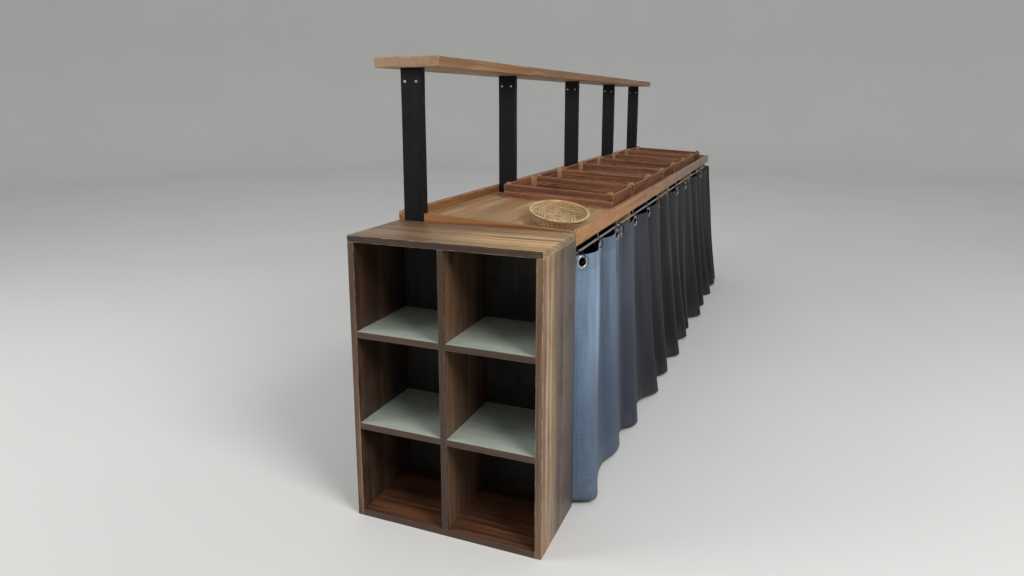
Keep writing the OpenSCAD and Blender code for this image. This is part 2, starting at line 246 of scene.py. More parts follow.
def put(tree, kind, inputs=(), **settings):
    node = tree.nodes.new(kind)
    for key, value in settings.items():
        setattr(node, key, value)
    feed(tree, node, inputs)
    return node


def calc(tree, operation, *values, clamp=False):
    return put(tree, "ShaderNodeMath", enumerate(values), operation=operation, use_clamp=clamp).outputs[0]


def times(tree, first, second, clamp=False):
    return calc(tree, "MULTIPLY", first, second, clamp=clamp)


def plus(tree, first, second):
    return calc(tree, "ADD", first, second)


def less(tree, first, second):
    return calc(tree, "SUBTRACT", first, second)


def vec(tree, operation, *values):
    return put(tree, "ShaderNodeVectorMath", enumerate(values), operation=operation).outputs[0]


def split(tree, vector):
    return put(tree, "ShaderNodeSeparateXYZ", {0: vector}).outputs


def mark(tree, name, output="Vector"):
    """What a piece's points carry under this name."""
    return put(tree, "ShaderNodeAttribute", attribute_name=name).outputs[output]


def own_place(tree):
    return put(tree, "ShaderNodeTexCoord").outputs["Object"]


def relief(tree, height, strength, distance):
    bump = put(tree, "ShaderNodeBump", {"Height": height, "Strength": strength, "Distance": distance})
    return bump.outputs[0]


def ramp(tree, value, low, high, to_low=0.0, to_high=1.0):
    """Turns low..high smoothly into to_low..to_high."""
    return put(tree, "ShaderNodeMapRange", {0: value, 1: low, 2: high, 3: to_low, 4: to_high},
               interpolation_type="SMOOTHSTEP").outputs[0]


def noise(tree, vector, scale, detail=2.0, rough=0.5, stretch=None):
    if stretch:
        vector = vec(tree, "MULTIPLY", vector, stretch)
    return put(tree, "ShaderNodeTexNoise", {"Vector": vector, "Scale": scale, "Detail": detail,
                                            "Roughness": rough}).outputs["Fac"]


def layers(tree, color, *tints):
    """Lays tints over a colour in turn, each (share, colour) or (share, colour, way to blend)."""
    for share, tint, *blend in tints:
        color = put(tree, "ShaderNodeMix", {0: share, 6: color, 7: tint}, data_type="RGBA",
                    blend_type=blend[0] if blend else "MIX").outputs[2]
    return color


print("helpers for single nodes are ready")

# %% Groups, materials and colours
def new_group(name, inputs, outputs):
    """An empty node group; inputs and outputs are (name, kind) or (name, kind, default). Gives its
    tree, the sockets that bring its inputs, and the node that takes its outputs."""
    tree = bpy.data.node_groups.new(name, "ShaderNodeTree")
    for sockets, side in ((inputs, "INPUT"), (outputs, "OUTPUT")):
        for title, kind, *default in sockets:
            socket = tree.interface.new_socket(title, in_out=side, socket_type="NodeSocket" + kind)
            if default:
                socket.default_value = default[0]
    return tree, put(tree, "NodeGroupInput").outputs, put(tree, "NodeGroupOutput")


def place(tree, group, inputs):
    return put(tree, "ShaderNodeGroup", inputs, node_tree=group).outputs


def new_material(name):
    """A material, its tree and its shader."""
    material = bpy.data.materials.new(name)
    material.use_nodes = True
    return material, material.node_tree, material.node_tree.nodes["Principled BSDF"]


def rgb(*srgb):
    """A colour as it is seen, from 0 to 255, as the light values that Blender works with."""
    c = np.array(srgb) / 255
    return (*np.where(c <= 0.04045, c / 12.92, ((c + 0.055) / 1.055) ** 2.4), 1.0)


print("middle grey in light values:", round(rgb(128, 128, 128)[0], 3))

# %% [markdown]
# Wood shows long streaks, growth rings where the saw cut them, open pores and a few knots. All
# four can be drawn from one place in the board: noise that is stretched along the grain makes the
# streaks and pores, and the distance from the tree's middle, taken in steps, makes the rings. Wide
# shop boards are glued up from staves, so the place is also cut in strips, each with its own tone,
# and heartwood is redder than sapwood, so a slow noise multiplies the colour by a warm one.

# %% Wood figure group
wood_figure, gi, go = new_group("Wood figure", [
    ("Grain", "Vector"), ("Pale", "Color"), ("Dark", "Color"), ("Knot Color", "Color"),
    ("Streaks", "Float", 60.0), ("Rings", "Float", 90.0), ("Ring Strength", "Float", 0.4),
    ("Pores", "Float", 0.4), ("Knots", "Float", 0.5), ("Stave Width", "Float", 9.0),
    ("Stave Tone", "Float", 0.0), ("Warmth", "Float", 0.3)], [("Color", "Color"), ("Height", "Float")])
HEARTWOOD = (1.0, 0.76, 0.56, 1.0)
t = wood_figure
stave = calc(t, "DIVIDE", split(t, gi["Grain"])[0], gi["Stave Width"])
stave_no = calc(t, "FLOOR", stave)
own_tone = put(t, "ShaderNodeTexWhiteNoise", {"W": stave_no}, noise_dimensions="1D").outputs["Value"]
sway = times(t, noise(t, gi["Grain"], 1.0, stretch=(4.0, 4.0, 1.1)), 0.05)
shift = put(t, "ShaderNodeCombineXYZ", {0: sway, 1: calc(t, "MULTIPLY_ADD", stave_no, 0.173, sway),
                                        2: times(t, stave_no, 0.71)}).outputs[0]
bent = vec(t, "ADD", gi["Grain"], shift)
from_joint = times(t, calc(t, "PINGPONG", stave, 0.5), gi["Stave Width"])
joint = less(t, 1.0, ramp(t, from_joint, 0.0003, 0.0009))
long_way = vec(t, "MULTIPLY", bent, (1.0, 1.0, 0.028))
streak = noise(t, long_way, gi["Streaks"], 5.0, 0.62)
broad = noise(t, long_way, times(t, gi["Streaks"], 0.16))
both = plus(t, times(t, streak, 0.6), times(t, broad, 0.4))
tone = ramp(t, calc(t, "MULTIPLY_ADD", less(t, own_tone, 0.5), gi["Stave Tone"], both), 0.4, 0.61)
to_pith = vec(t, "ADD", vec(t, "MULTIPLY", bent, (1, 1, 0.03)), (0.031, 0.047, 0))
from_pith = put(t, "ShaderNodeVectorMath", {0: to_pith}, operation="LENGTH").outputs["Value"]
ring = calc(t, "FRACT", times(t, from_pith, gi["Rings"]))
late = times(t, ramp(t, ring, 0.45, 0.95), ramp(t, ring, 1.0, 0.96))
pore = ramp(t, noise(t, gi["Grain"], 1100.0, 1.0, stretch=(1.0, 1.0, 0.045)), 0.6, 0.7)
cell = put(t, "ShaderNodeTexVoronoi", {"Vector": vec(t, "MULTIPLY", bent, (1.0, 1.0, 0.45)),
                                       "Scale": 3.1}).outputs["Distance"]
heart = noise(t, bent, 1.0, 3.0, stretch=(17.0, 17.0, 1.7))
color = layers(t, gi["Pale"], (tone, gi["Dark"]), (times(t, late, gi["Ring Strength"]), gi["Dark"]),
               (ramp(t, heart, 0.44, 0.66, 0.0, gi["Warmth"]), HEARTWOOD, "MULTIPLY"),
               (times(t, pore, gi["Pores"]), gi["Knot Color"]), (times(t, joint, 0.6), gi["Knot Color"]),
               (times(t, ramp(t, cell, 0.085, 0.04), gi["Knots"]), gi["Knot Color"]))
low = plus(t, times(t, late, 0.35), times(t, pore, 0.5))
feed(t, go, {"Color": color, "Height": less(t, times(t, streak, 0.8), low)})
print("wood figure group:", len(t.nodes), "nodes")

# %% [markdown]
# Hands, crates and trolleys rub the arrises of shop furniture and leave smudges on its faces. Edge
# wear starts from the distance to the arris and is broken up with noise, and the marks group gives
# soft smudges. Both only give masks, which each finish uses its own way.

# %% Edge wear and marks groups
edge_wear, gi, go = new_group("Edge wear", [("Edge", "Float"), ("Grain", "Vector"), ("Width", "Float", 0.004),
                                            ("Amount", "Float", 1.0)], [("Mask", "Float")])
t = edge_wear
chips = noise(t, gi["Grain"], 70.0, 4.0, 0.65, stretch=(1, 1, 0.35))
reach = times(t, gi["Width"], ramp(t, chips, 0.35, 0.75, 0.15, 2.2))
away = ramp(t, calc(t, "DIVIDE", gi["Edge"], reach), 0.35, 1.0)
feed(t, go, {"Mask": times(t, less(t, 1.0, away), gi["Amount"])})

use_marks, gi, go = new_group("Use marks", [("Place", "Vector"), ("Size", "Float", 6.0)],
                              [("Smudge", "Float")])
t = use_marks
feed(t, go, {"Smudge": ramp(t, noise(t, gi["Place"], gi["Size"], 4.0, 0.6), 0.42, 0.72)})
print("edge wear group:", len(edge_wear.nodes), "nodes, marks group:", len(use_marks.nodes), "nodes")

# %% [markdown]
# One function now makes every wood finish of the island: only the colours, the size of the figure
# and the gloss change. Boards that we shape ourselves carry their own grain; construction that is
# shown as it is takes its grain from its place in the island, turned to run along the board. Tints
# follow a face's direction or its place: on the shelf unit, faces turned one way carry painted
# shade, or a painted sheen on top of the shelves, the plank's ends get an end-grain tone, and the
# colour drifts along a board.

# %% Wood finish function
def wood_finish(name, pale, dark, knot, streaks=60.0, rings=90.0, ring_strength=0.35, pores=0.35, knots=0.5,
                worn=None, wear=0.8, wear_width=0.003, rough=0.5, coat=0.0, specular=0.5, along=None,
                bump=0.25, staves=(9.0, 0.0), facing=(), drifts=()):
    """along is the axis of the grain on a board that carries none. facing: (axis, way, colour,
    share) tints faces that look that way. drifts: (axis, from, to, colour, share) tints more and
    more from one place to another. staves is their width and how far their tones differ."""
    material, t, shader = new_material(name)
    where = split(t, own_place(t)) if drifts or along is not None else None
    if along is None:
        grain, edge = mark(t, "grain"), mark(t, "edge", "Fac")
    else:
        turned = {k: where[(along + 1 + k) % 3] for k in range(3)}
        grain = put(t, "ShaderNodeCombineXYZ", turned).outputs[0]
    figure = place(t, wood_figure, {
        "Grain": grain, "Pale": pale, "Dark": dark, "Knot Color": knot, "Streaks": streaks, "Rings": rings,
        "Ring Strength": ring_strength, "Pores": pores, "Knots": knots, "Stave Width": staves[0],
        "Stave Tone": staves[1]})
    smudge = place(t, use_marks, {"Place": grain, "Size": 5.0})["Smudge"]
    color = layers(t, figure["Color"], (times(t, smudge, 0.3), dark),
                   *[(ramp(t, where[axis], start, end, 0.0, share), tint)
                     for axis, start, end, tint, share in drifts])
    if facing:
        normal = split(t, put(t, "ShaderNodeNewGeometry").outputs["Normal"])
    # Facing tints: painted shade and a painted sheen on the shelf unit's oak, an end-grain tone on the
    # plank's ends.
    for axis, way, tint, share in facing:
        turned = ramp(t, times(t, normal[axis], way), 0.7, 0.95)
        patchy = calc(t, "MULTIPLY_ADD", plus(t, smudge, figure["Height"]), -0.22, share + 0.1)
        color = layers(t, color, (times(t, turned, patchy, clamp=True), tint))
    roughness = ramp(t, smudge, 0, 1, rough - 0.08, rough + 0.12)
    if along is None:
        worn_by = {"Edge": edge, "Grain": grain, "Width": wear_width, "Amount": wear}
        mask = place(t, edge_wear, worn_by)["Mask"]
        color = layers(t, color, (mask, worn or pale))
        roughness = plus(t, roughness, times(t, mask, 0.15))
    feed(t, shader, {"Base Color": color, "Roughness": roughness, "Specular IOR Level": specular,
                     "Normal": relief(t, figure["Height"], bump, 0.0006), "Coat Weight": coat,
                     "Coat Roughness": 0.3})
    return material


# The first colour below is painted shade, laid on faces inside the shelf unit's cells and under its boards.
SHADE_INSIDE, GREY_WOOD = rgb(44, 30, 21), rgb(122, 106, 92)
UNIT_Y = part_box("unit_side_right")[0].y
print("the shelf unit's front is at y", round(UNIT_Y, 4))

# %% [markdown]
# The shelf unit's oak has a different tone on each board: its right side is paler, as painted
# light from the right, darker towards its back and grey at its rear edge, and the insides,
# undersides and front faces carry painted shade. The short shelves carry a painted grey-green
# sheen on top. The counter's softwoods are yellower, and they turn greyer further back.

# %% Oak finishes
OAK = dict(knot=rgb(50, 36, 27), streaks=50, rings=75, knots=0.7, rough=0.48, coat=0.1, staves=(0.084, 0.16),
           wear=0.5, wear_width=0.0022)
# The left side's inward face carries painted shade.
side_oak = wood_finish("weathered oak left", rgb(148, 116, 86), rgb(78, 57, 41), worn=rgb(160, 132, 104),
                       facing=[(0, 1, SHADE_INSIDE, 0.8)], **OAK)
# The right side's paler colours are painted light from the right; it darkens towards its back and greys at
# its rear edge, and its inward and front faces carry painted shade.
lit_right_oak = wood_finish("right oak with painted light", rgb(192, 158, 114), rgb(104, 76, 52), worn=rgb(200, 172, 134),
                        facing=[(0, -1, SHADE_INSIDE, 0.6), (1, -1, rgb(70, 52, 38), 0.5)],
                        drifts=[(1, UNIT_Y + 0.05, UNIT_Y + 0.19, rgb(40, 24, 12), 0.8),
                                (1, UNIT_Y + 0.246, UNIT_Y + 0.268, rgb(72, 67, 64), 0.62)], **OAK)
# The top's front face and underside carry painted shade; its right end face is darker, and it darkens towards
# its left end.
top_oak = wood_finish("weathered oak top", rgb(206, 171, 120), rgb(112, 82, 54), worn=rgb(182, 150, 110),
                      facing=[(1, -1, rgb(54, 36, 25), 0.96), (0, 1, rgb(96, 72, 52), 0.55),
                              (2, -1, SHADE_INSIDE, 0.5)],
                      drifts=[(0, 0.25, -0.15, rgb(92, 66, 46), 0.72)], **OAK)
# Upward faces of the shelves carry a painted grey-green sheen; undersides, front faces and the divider's
# sides carry painted shade.
dark_oak = wood_finish("dark oak", rgb(124, 95, 72), rgb(66, 48, 35), worn=rgb(120, 98, 78),
                       facing=[(2, 1, rgb(176, 188, 176), 0.84), (2, -1, SHADE_INSIDE, 0.5),
                               (1, -1, rgb(58, 38, 25), 0.8), (0, 1, SHADE_INSIDE, 0.3), (0, -1, SHADE_INSIDE, 0.3)],
                       **OAK)
# The base's front face carries painted shade.
base_oak = wood_finish("red brown oak", rgb(118, 77, 52), rgb(64, 42, 31), worn=rgb(104, 78, 58),
                       facing=[(1, -1, rgb(62, 43, 31), 0.6)], **OAK)
print("five oak finishes, in staves of", OAK["staves"][0], "m")

# %% Softwood and painted finishes
LIP = dict(pale=rgb(176, 123, 72), dark=rgb(120, 77, 44), knot=rgb(80, 50, 30), streaks=70, rings=120,
           rough=0.5)
lip_wood = wood_finish("ochre lip wood", worn=rgb(192, 152, 108), wear=0.6, wear_width=0.004,
                       drifts=[(1, UNIT_Y + 0.7, UNIT_Y + 3.2, GREY_WOOD, 0.65)], **LIP)
lip_across = wood_finish("ochre end lip", along=0, **LIP)
plank_end = rgb(152, 122, 92)
plank_wood = wood_finish("planed plank wood", rgb(176, 139, 98), rgb(126, 91, 60), rgb(84, 56, 38),
                         streaks=38, rings=80, worn=rgb(192, 160, 122), rough=0.62, staves=(0.071, 0.1),
                         facing=[(1, -1, plank_end, 0.7), (1, 1, plank_end, 0.7)],
                         drifts=[(1, UNIT_Y + 1.2, UNIT_Y + 4.2, GREY_WOOD, 0.45)])
deck_wood = wood_finish("deck board", rgb(186, 154, 112), rgb(142, 108, 72), rgb(90, 62, 40), streaks=36,
                        rings=60, along=1, rough=0.65)
PINE = dict(pale=rgb(190, 160, 118), dark=rgb(150, 116, 78), knot=rgb(96, 64, 40), rough=0.6)
pine_across = wood_finish("pine bearer", along=0, **PINE)
pine_upright = wood_finish("pine leg", along=2, **PINE)
back_black = wood_finish("black back panel", rgb(40, 37, 36), rgb(24, 22, 22), rgb(18, 17, 17), along=2,
                         rough=0.7, knots=0.0, pores=0.1)
post_black = wood_finish("black post paint", rgb(19, 19, 24), rgb(12, 12, 16), rgb(9, 9, 12),
                         ring_strength=0.15, pores=0.1, knots=0.2, worn=rgb(84, 70, 58), wear=0.45,
                         wear_width=0.0016, rough=0.58, bump=0.35, specular=0.18)
crate_brown = wood_finish("brown crate wood", rgb(138, 86, 54), rgb(82, 47, 29), rgb(48, 28, 18), streaks=80,
                          rings=150, worn=rgb(168, 122, 86), wear=0.6, rough=0.68)
crate_pale = wood_finish("corner block wood", rgb(158, 116, 78), rgb(112, 76, 48), rgb(84, 56, 36),
                         streaks=80, rings=160, rough=0.65)
print(len(bpy.data.materials), "wood finishes in all")

# %% [markdown]
# The shelf unit is six open cells: two sides, a top over them, a base, a divider and four short
# shelves, with a black panel behind. The boards of the construction are plain blocks, so each is
# replaced by a worn board of the same size, whose grain runs the way a joiner would lay it.

# %% Shelf unit boards
ARRIS = {"shelf_oak": 0.0015, "shelf_oak_dark": 0.0015, "post_black": 0.003, "plank_wood": 0.004,
         "lip_wood": 0.0025}
UNIT = {"unit_side_left": (2, side_oak, "shelf_oak"), "unit_side_right": (2, lit_right_oak, "shelf_oak"),
        "unit_top": (0, top_oak, "shelf_oak"), "unit_base": (0, base_oak, "shelf_oak_dark"),
        "unit_divider": (2, dark_oak, "shelf_oak_dark")}
UNIT.update({f"shelf_{row}_{side}": (0, dark_oak, "shelf_oak_dark")
             for row in ("lower", "upper") for side in ("left", "right")})


def board_for(node, along, finish, slot, seed):
    """Replaces a node by a worn board, with the arris that its slot's wood is planed to."""
    points, faces, marks = board_shape(*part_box(node), along, ARRIS[slot], seed)
    make_piece(node + "_board", points, faces, [finish], slot, marks, hides=[node])


for seed, (node, (along, finish, slot)) in enumerate(UNIT.items(), 1):
    board_for(node, along, finish, slot, seed)
print(len(UNIT), "boards in the shelf unit")

# %% [markdown]
# Five posts of planed timber carry the plank. They are painted black; the paint is thin, so a
# little wood shows along the arrises and the grain can still be felt under it. The plank comes in
# three lengths that meet over posts, and a narrow lip runs right round the counter's deck.

# %% Posts, plank and long lips
POSTS = [f"post_{i + 1}" for i in range(5)]
for i, node in enumerate(POSTS):
    board_for(node, 2, post_black, "post_black", 20 + i)
for i, part in enumerate(("near", "middle", "far")):
    board_for(f"plank_{part}", 1, plank_wood, "plank_wood", 30 + i)
for i, part in enumerate(("aisle", "rear")):
    board_for(f"lip_{part}", 1, lip_wood, "lip_wood", 40 + i)
print(len(POSTS), "posts, three lengths of plank and two long lips")

# %% [markdown]
# Some of the construction stays in view as it is: its shapes are plain and right, and they only
# want a finish. The short lips at both ends are among them, because they follow the deck's slope
# and the near one is cut out round the first post. Their grain runs across the counter.

# %% Finishes for the construction that stays in view
KEPT = {"deck_near": deck_wood, "deck_far": deck_wood, "cross_bearers": pine_across,
        "aisle_legs": pine_upright, "unit_back": back_black, "lip_near_end": lip_across,
        "lip_far_end": lip_across}


def dress(node, material):
    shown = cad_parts[node].data.materials
    shown.clear()
    shown.append(material)


for node, material in KEPT.items():
    dress(node, material)
print("dressed", ", ".join(KEPT))

# %% [markdown]
# The deck slopes three degrees down to the aisle, to show what lies on it, and the crates slope
# with it. One function carries points from level to the deck, as the construction does: it turns
# them about the aisle lip.

# %% The sloping deck
SLOPE = math.radians(3)
DECK_T = 0.018
lip_low, lip_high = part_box("lip_aisle")
LIP_IN, LIP_Z = lip_low.x, lip_low.z
Y_NEAR, Y_END = lip_low.y, lip_high.y


def on_deck(points, distance, y):
    """Turns points about the aisle lip's inner edge by the slope: x runs up to it from the left,
    distance is how far up the slope their own origin is, and z stands square on the deck."""
    x, z = points[:, 0] - distance, points[:, 2]
    return np.stack([LIP_IN + x * math.cos(SLOPE) + z * math.sin(SLOPE), y + points[:, 1],
                     LIP_Z + DECK_T / math.cos(SLOPE) - x * math.sin(SLOPE) + z * math.cos(SLOPE)], 1)


print("deck from", Y_NEAR, "to", Y_END)

# %% [markdown]
# Nails and screws hold the island together, and their heads tell that it was put together by hand.
# A head is a small disc of points in rings, raised along its own normal. One function sets copies
# of a head at all its places in one array: a nail's is a low dome, and a pan-head screw's has two
# bars pushed down that cross in its middle for the driver. Bare metal gets one finish function.

# %% Nail and screw heads
NAIL_R, NAIL_HIGH, NAIL_SUNK, NAIL_SIDES = 0.0022, 0.0006, 0.0004, 8
SCREW_R, SCREW_HIGH, SCREW_SUNK, SCREW_SIDES = 0.0052, 0.0022, 0.0005, 24
BAR_HALF, BAR_REACH, TROUGH, DOME_EDGE = 0.14 * SCREW_R, 0.62 * SCREW_R, 0.0013, 0.12
NAIL_RINGS = np.array([1, 0.6])
SCREW_RINGS = np.array([1.0, 1.0, 0.94, 0.8, 0.6, 0.45, 0.3, 0.15])
SKEW = [0.3, 0.5, 0.81]


def set_heads(places, normal, x, y, z, low, high):
    """A point is its place plus x and y across the surface and z along the normal. low and high
    are the z of the middle points that close the first ring and the last."""
    normal = np.array(normal, float)
    across = unit(np.cross(normal, SKEW))
    rings = np.stack(np.broadcast_arrays(x, y, z), -1)
    head = np.concatenate([rings.reshape(-1, 3), [[0, 0, low], [0, 0, high]]])
    head = head @ np.stack([across, np.cross(normal, across), normal])
    points = (np.array(places, float)[:, None] + head).reshape(-1, 3)
    marks = {"grain": points.copy(), "edge": np.zeros(len(points))}
    return points, copies(capped(*rings.shape[:2]), len(places), len(head)), marks


def nail_heads(places, normal):
    """Low domes: a ring in the wood, a smaller ring over it, and a middle point."""
    a, r = round_angles(NAIL_SIDES), NAIL_R * NAIL_RINGS[:, None]
    z = np.array([[-NAIL_SUNK], [NAIL_HIGH]])
    return set_heads(places, normal, r * np.cos(a), r * np.sin(a), z, -NAIL_SUNK, 1.2 * NAIL_HIGH)


def screw_heads(places, normal):
    """Height over the disc is a dome, less a trough where a point is near either of two bars."""
    a, r = round_angles(SCREW_SIDES), SCREW_R * SCREW_RINGS[:, None]
    x, y = r * np.cos(a), r * np.sin(a)
    in_bar = (np.minimum(np.abs(x), np.abs(y)) < BAR_HALF) & (r < BAR_REACH)
    z = SCREW_HIGH * np.sqrt(np.maximum(DOME_EDGE, 1 - (r / SCREW_R) ** 2)) - TROUGH * in_bar
    z[0] = -SCREW_SUNK
    return set_heads(places, normal, x, y, z, -SCREW_SUNK, SCREW_HIGH - TROUGH)


def plain_metal(name, color, rough, speckle=0.25, metallic=1.0):
    """Metal that is duller and browner in smudges; speckle is by how much."""
    material, t, shader = new_material(name)
    dull = times(t, place(t, use_marks, {"Place": own_place(t), "Size": 40.0})["Smudge"], speckle)
    color = layers(t, color, (dull, rgb(70, 58, 48)))
    feed(t, shader, {"Base Color": color, "Roughness": plus(t, dull, rough), "Metallic": metallic})
    return material


print("a screw head has", len(SCREW_RINGS) * SCREW_SIDES + 2, "points")

# %% [markdown]
# Produce crates are nailed together from thin slats: four across the bottom, two along each long
# side, a board at each end, and a three-cornered block in every corner that stands a little proud,
# so that crates stack. Seven stand in a row on the deck, each with small differences of its own.

# %% Slats and corner blocks
CRATE_L, CRATE_W, CRATE_H = 0.56, 0.4, 0.07
SIDE_T, FLOOR_T, SLAT_GAP, BLOCK, EAR = 0.008, 0.006, 0.009, 0.026, 0.01
SLAT_STEPS, SLAT_ARRIS, SLAT_REST, LOOSE = np.array([0, 0.006]), 0.0009, 0.14, 0.0012
slat_h = (CRATE_H - FLOOR_T - SLAT_GAP) / 2
floor_w = (CRATE_W - 3 * SLAT_GAP) / 4


def slat(low, high, along, seed):
    return board_shape(low, high, along, SLAT_ARRIS, seed, steps=SLAT_STEPS, turns=2, rest=SLAT_REST)


def corner_block(x, y, flip_x, flip_y, seed):
    """A three-sided bar: its profile is a triangle with its corners cut off, carried up the corner
    and drawn in a little at both ends."""
    cut, draw_in, top = 0.0015, 0.0008, CRATE_H + EAR
    profile = np.array([[cut, 0], [BLOCK - cut, 0], [BLOCK - cut, cut], [cut, BLOCK - cut],
                        [0, BLOCK - cut], [0, cut]])
    heights = np.array([FLOOR_T, FLOOR_T + draw_in, top - cut, top])
    shares = np.array([0.93, 1, 1, 0.9])
    middle = profile.mean(0)
    rings = middle + (profile - middle) * shares[:, None, None]
    rings = np.concatenate([rings, np.broadcast_to(heights[:, None, None], (4, 6, 1))], 2)
    points = np.concatenate([rings.reshape(-1, 3), [[*middle, FLOOR_T], [*middle, top]]])
    marks = {"grain": points + [0.2 * seed, 0.4 * seed, seed], "edge": np.repeat([0.001, 0.01], [24, 2])}
    faces = capped(4, 6)
    if flip_x * flip_y < 0:
        faces = [group[:, ::-1] for group in faces]
    return points * [flip_x, flip_y, 1] + [x, y, 0], faces, marks


print("slats are", round(slat_h, 4), "m high at the sides and", round(floor_w, 4), "m wide in the bottom")

# %% One crate
NAIL_IN, END_NAIL_IN, END_NAIL_Z = 0.013, 0.014, (0.018, 0.052)


def crate_parts(seed):
    """The slats, corner blocks and nails of one level crate whose corner is at the origin."""
    rng = np.random.default_rng(seed)
    first = seed * 20
    wood = [slat((0, y, 0), (CRATE_L, y + floor_w, FLOOR_T), 0, first + n)
            for n, y in enumerate(np.arange(4) * (floor_w + SLAT_GAP))]
    for x in (0, CRATE_L - SIDE_T):
        wood.append(slat((x, SIDE_T, FLOOR_T), (x + SIDE_T, CRATE_W - SIDE_T, CRATE_H), 1, first + 5 + x))
    for y in (0, CRATE_W - SIDE_T):
        for n in range(2):
            z = FLOOR_T + n * (slat_h + SLAT_GAP) + rng.uniform(-LOOSE, LOOSE) * n
            wood.append(slat((0, y, z), (CRATE_L, y + SIDE_T, z + slat_h), 0, first + 8 + n + 30 * y))
    blocks = [corner_block((SIDE_T, CRATE_L - SIDE_T)[i], (SIDE_T, CRATE_W - SIDE_T)[j], 1 - 2 * i, 1 - 2 * j,
                           seed * 9 + 2 * i + j) for i in (0, 1) for j in (0, 1)]
    rows = FLOOR_T + np.array([0.25, 0.75]) * slat_h
    heights = np.concatenate([rows, rows + slat_h + SLAT_GAP])
    nails = [nail_heads([(x, y, z) for x in (NAIL_IN, CRATE_L - NAIL_IN) for z in heights], (0, out, 0))
             for y, out in ((0, -1), (CRATE_W, 1))]
    nails += [nail_heads([(x, y, z) for y in (END_NAIL_IN, CRATE_W - END_NAIL_IN) for z in END_NAIL_Z],
                         (out, 0, 0)) for x, out in ((0, -1), (CRATE_L, 1))]
    return wood, blocks, nails


print("a crate has", [len(kind) for kind in crate_parts(1)], "slats and boards, blocks and sets of nails")

# %% Seven crates
CRATE_INSET, CRATE_FIRST, CRATE_PITCH = 0.042, 0.8, 0.45
nail_steel = plain_metal("dull nail steel", rgb(150, 146, 140), 0.45, 0.6)
crates = [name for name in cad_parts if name.startswith("crate_")]
for i in range(len(crates)):
    kinds = crate_parts(i + 1)
    parts = [part for kind in kinds for part in kind]
    points, faces, marks = join_parts(parts)
    kind_no = np.repeat(range(3), [len(kind) for kind in kinds])
    which = np.concatenate([np.repeat(kind_no, [len(part[1][k]) for part in parts]) for k in (0, 1)])
    points = on_deck(points, CRATE_INSET + CRATE_L, Y_NEAR + CRATE_FIRST + i * CRATE_PITCH)
    make_piece(f"crate_{i + 1}_slats", points, faces, [crate_brown, crate_pale, nail_steel], "crate_wood",
               marks, face_material=which, hides=[f"crate_{i + 1}"])
print(len(crates), "crates of", len(faces[0]) * 2 + len(faces[1]), "triangles")

# %% [markdown]
# The oval basket is woven from willow: upright stakes, thin rods that pass in front of one stake
# and behind the next, a woven bottom and a rim of two twisted rods. Every rod is a tube: a circle
# carried along a path. The path needs two directions at each step to carry the circle on.

# %% Tubes
GRAIN_ROUND, GRAIN_APART, GRAIN_STEP = 0.0007, 0.21, 0.006


def tubes(paths, side_way, up_way, radius, sides=6, looped=True):
    """Tubes along paths, an array of (tube, step, 3): a point is the path's point plus the radius
    times the cosine along side_way and the sine along up_way. A looped tube ends where it starts,
    and an open one is closed by the path's own first and last point."""
    count, steps = paths.shape[:2]
    a = round_angles(sides)[:, None]
    circle = np.cos(a) * side_way[..., None, :] + np.sin(a) * up_way[..., None, :]
    points = (paths[..., None, :] + radius * circle).reshape(count, -1, 3)
    grain = (np.arange(sides) * GRAIN_ROUND * looped, np.arange(count)[:, None, None] * GRAIN_APART,
             np.arange(steps)[:, None] * GRAIN_STEP)
    grain = np.stack(np.broadcast_arrays(*grain), -1).reshape(count, -1, 3)
    if looped:
        faces = [lattice(steps, sides, looped=True)[:, ::-1]]
    else:
        faces = capped(steps, sides)
        points = np.concatenate([points, paths[:, :1], paths[:, -1:]], 1)
        grain = np.concatenate([grain, np.zeros((count, 2, 3))], 1)
    faces = copies(faces, count, points.shape[1])
    return points.reshape(-1, 3), faces, {"grain": grain.reshape(-1, 3)}


print("a rod of 6 sides and 7 steps has", len(capped(7, 6)[0]), "long faces")

# %% The basket's oval
RIM_L, RIM_W, BASKET_H, BOTTOM_SHARE, WALL_IN = 0.54, 0.26, 0.05, 0.82, 0.003
BASKET_UP, BASKET_ALONG, BASKET_TURN = 0.1707, 0.37375, math.radians(-68)
STAKES = 38


def oval_at(angle, height):
    """The basket's wall: an oval that widens with height, set in by half the wall's thickness."""
    share = BOTTOM_SHARE + (1 - BOTTOM_SHARE) * height / BASKET_H
    x = (RIM_L / 2 * share - WALL_IN) * np.cos(angle)
    y = (RIM_W / 2 * share - WALL_IN) * np.sin(angle)
    return np.stack([x, y, height + 0 * angle], -1)


def oval_out(angle):
    return unit(np.stack([np.cos(angle) / RIM_L, np.sin(angle) / RIM_W, 0 * angle], -1))


def woven(angle, rows):
    """In front of a stake and behind the next, the other way round in each following row."""
    return np.cos(STAKES / 2 * angle + np.pi * rows)


print("the basket's bottom is", round(2 * oval_at(0.0, 0.0)[0], 3), "m long")

# %% Woven willow rods
WEAVE_ROWS, BOTTOM_ROWS, ROUND_STEPS = 9, 13, 228
WILLOW, STAKE_R, SPOKE_R, RIM_R, BEHIND = 0.0021, 0.0017, 0.0015, 0.0036, 0.001
FIRST_ROW, ROW_RISE, UNEVEN, WEAVE_DEEP = 0.0055, 0.0044, 0.0004, 0.0026
BOTTOM_Z, BOTTOM_DEEP, BOTTOM_SPAN = 0.004, 0.0016, (0.1, 0.96)
TWIST_R, TWISTS, RIM_DOWN, STAKE_DOWN = 0.0032, 26, 0.007, 0.008
turn = round_angles(ROUND_STEPS)
rows = np.arange(WEAVE_ROWS)[:, None]
angle = turn + 0 * rows
height = FIRST_ROW + rows * ROW_RISE + UNEVEN * np.sin(3 * angle + rows)
wall = oval_at(angle, height) + oval_out(angle) * (WEAVE_DEEP * woven(angle, rows) - BEHIND)[..., None]
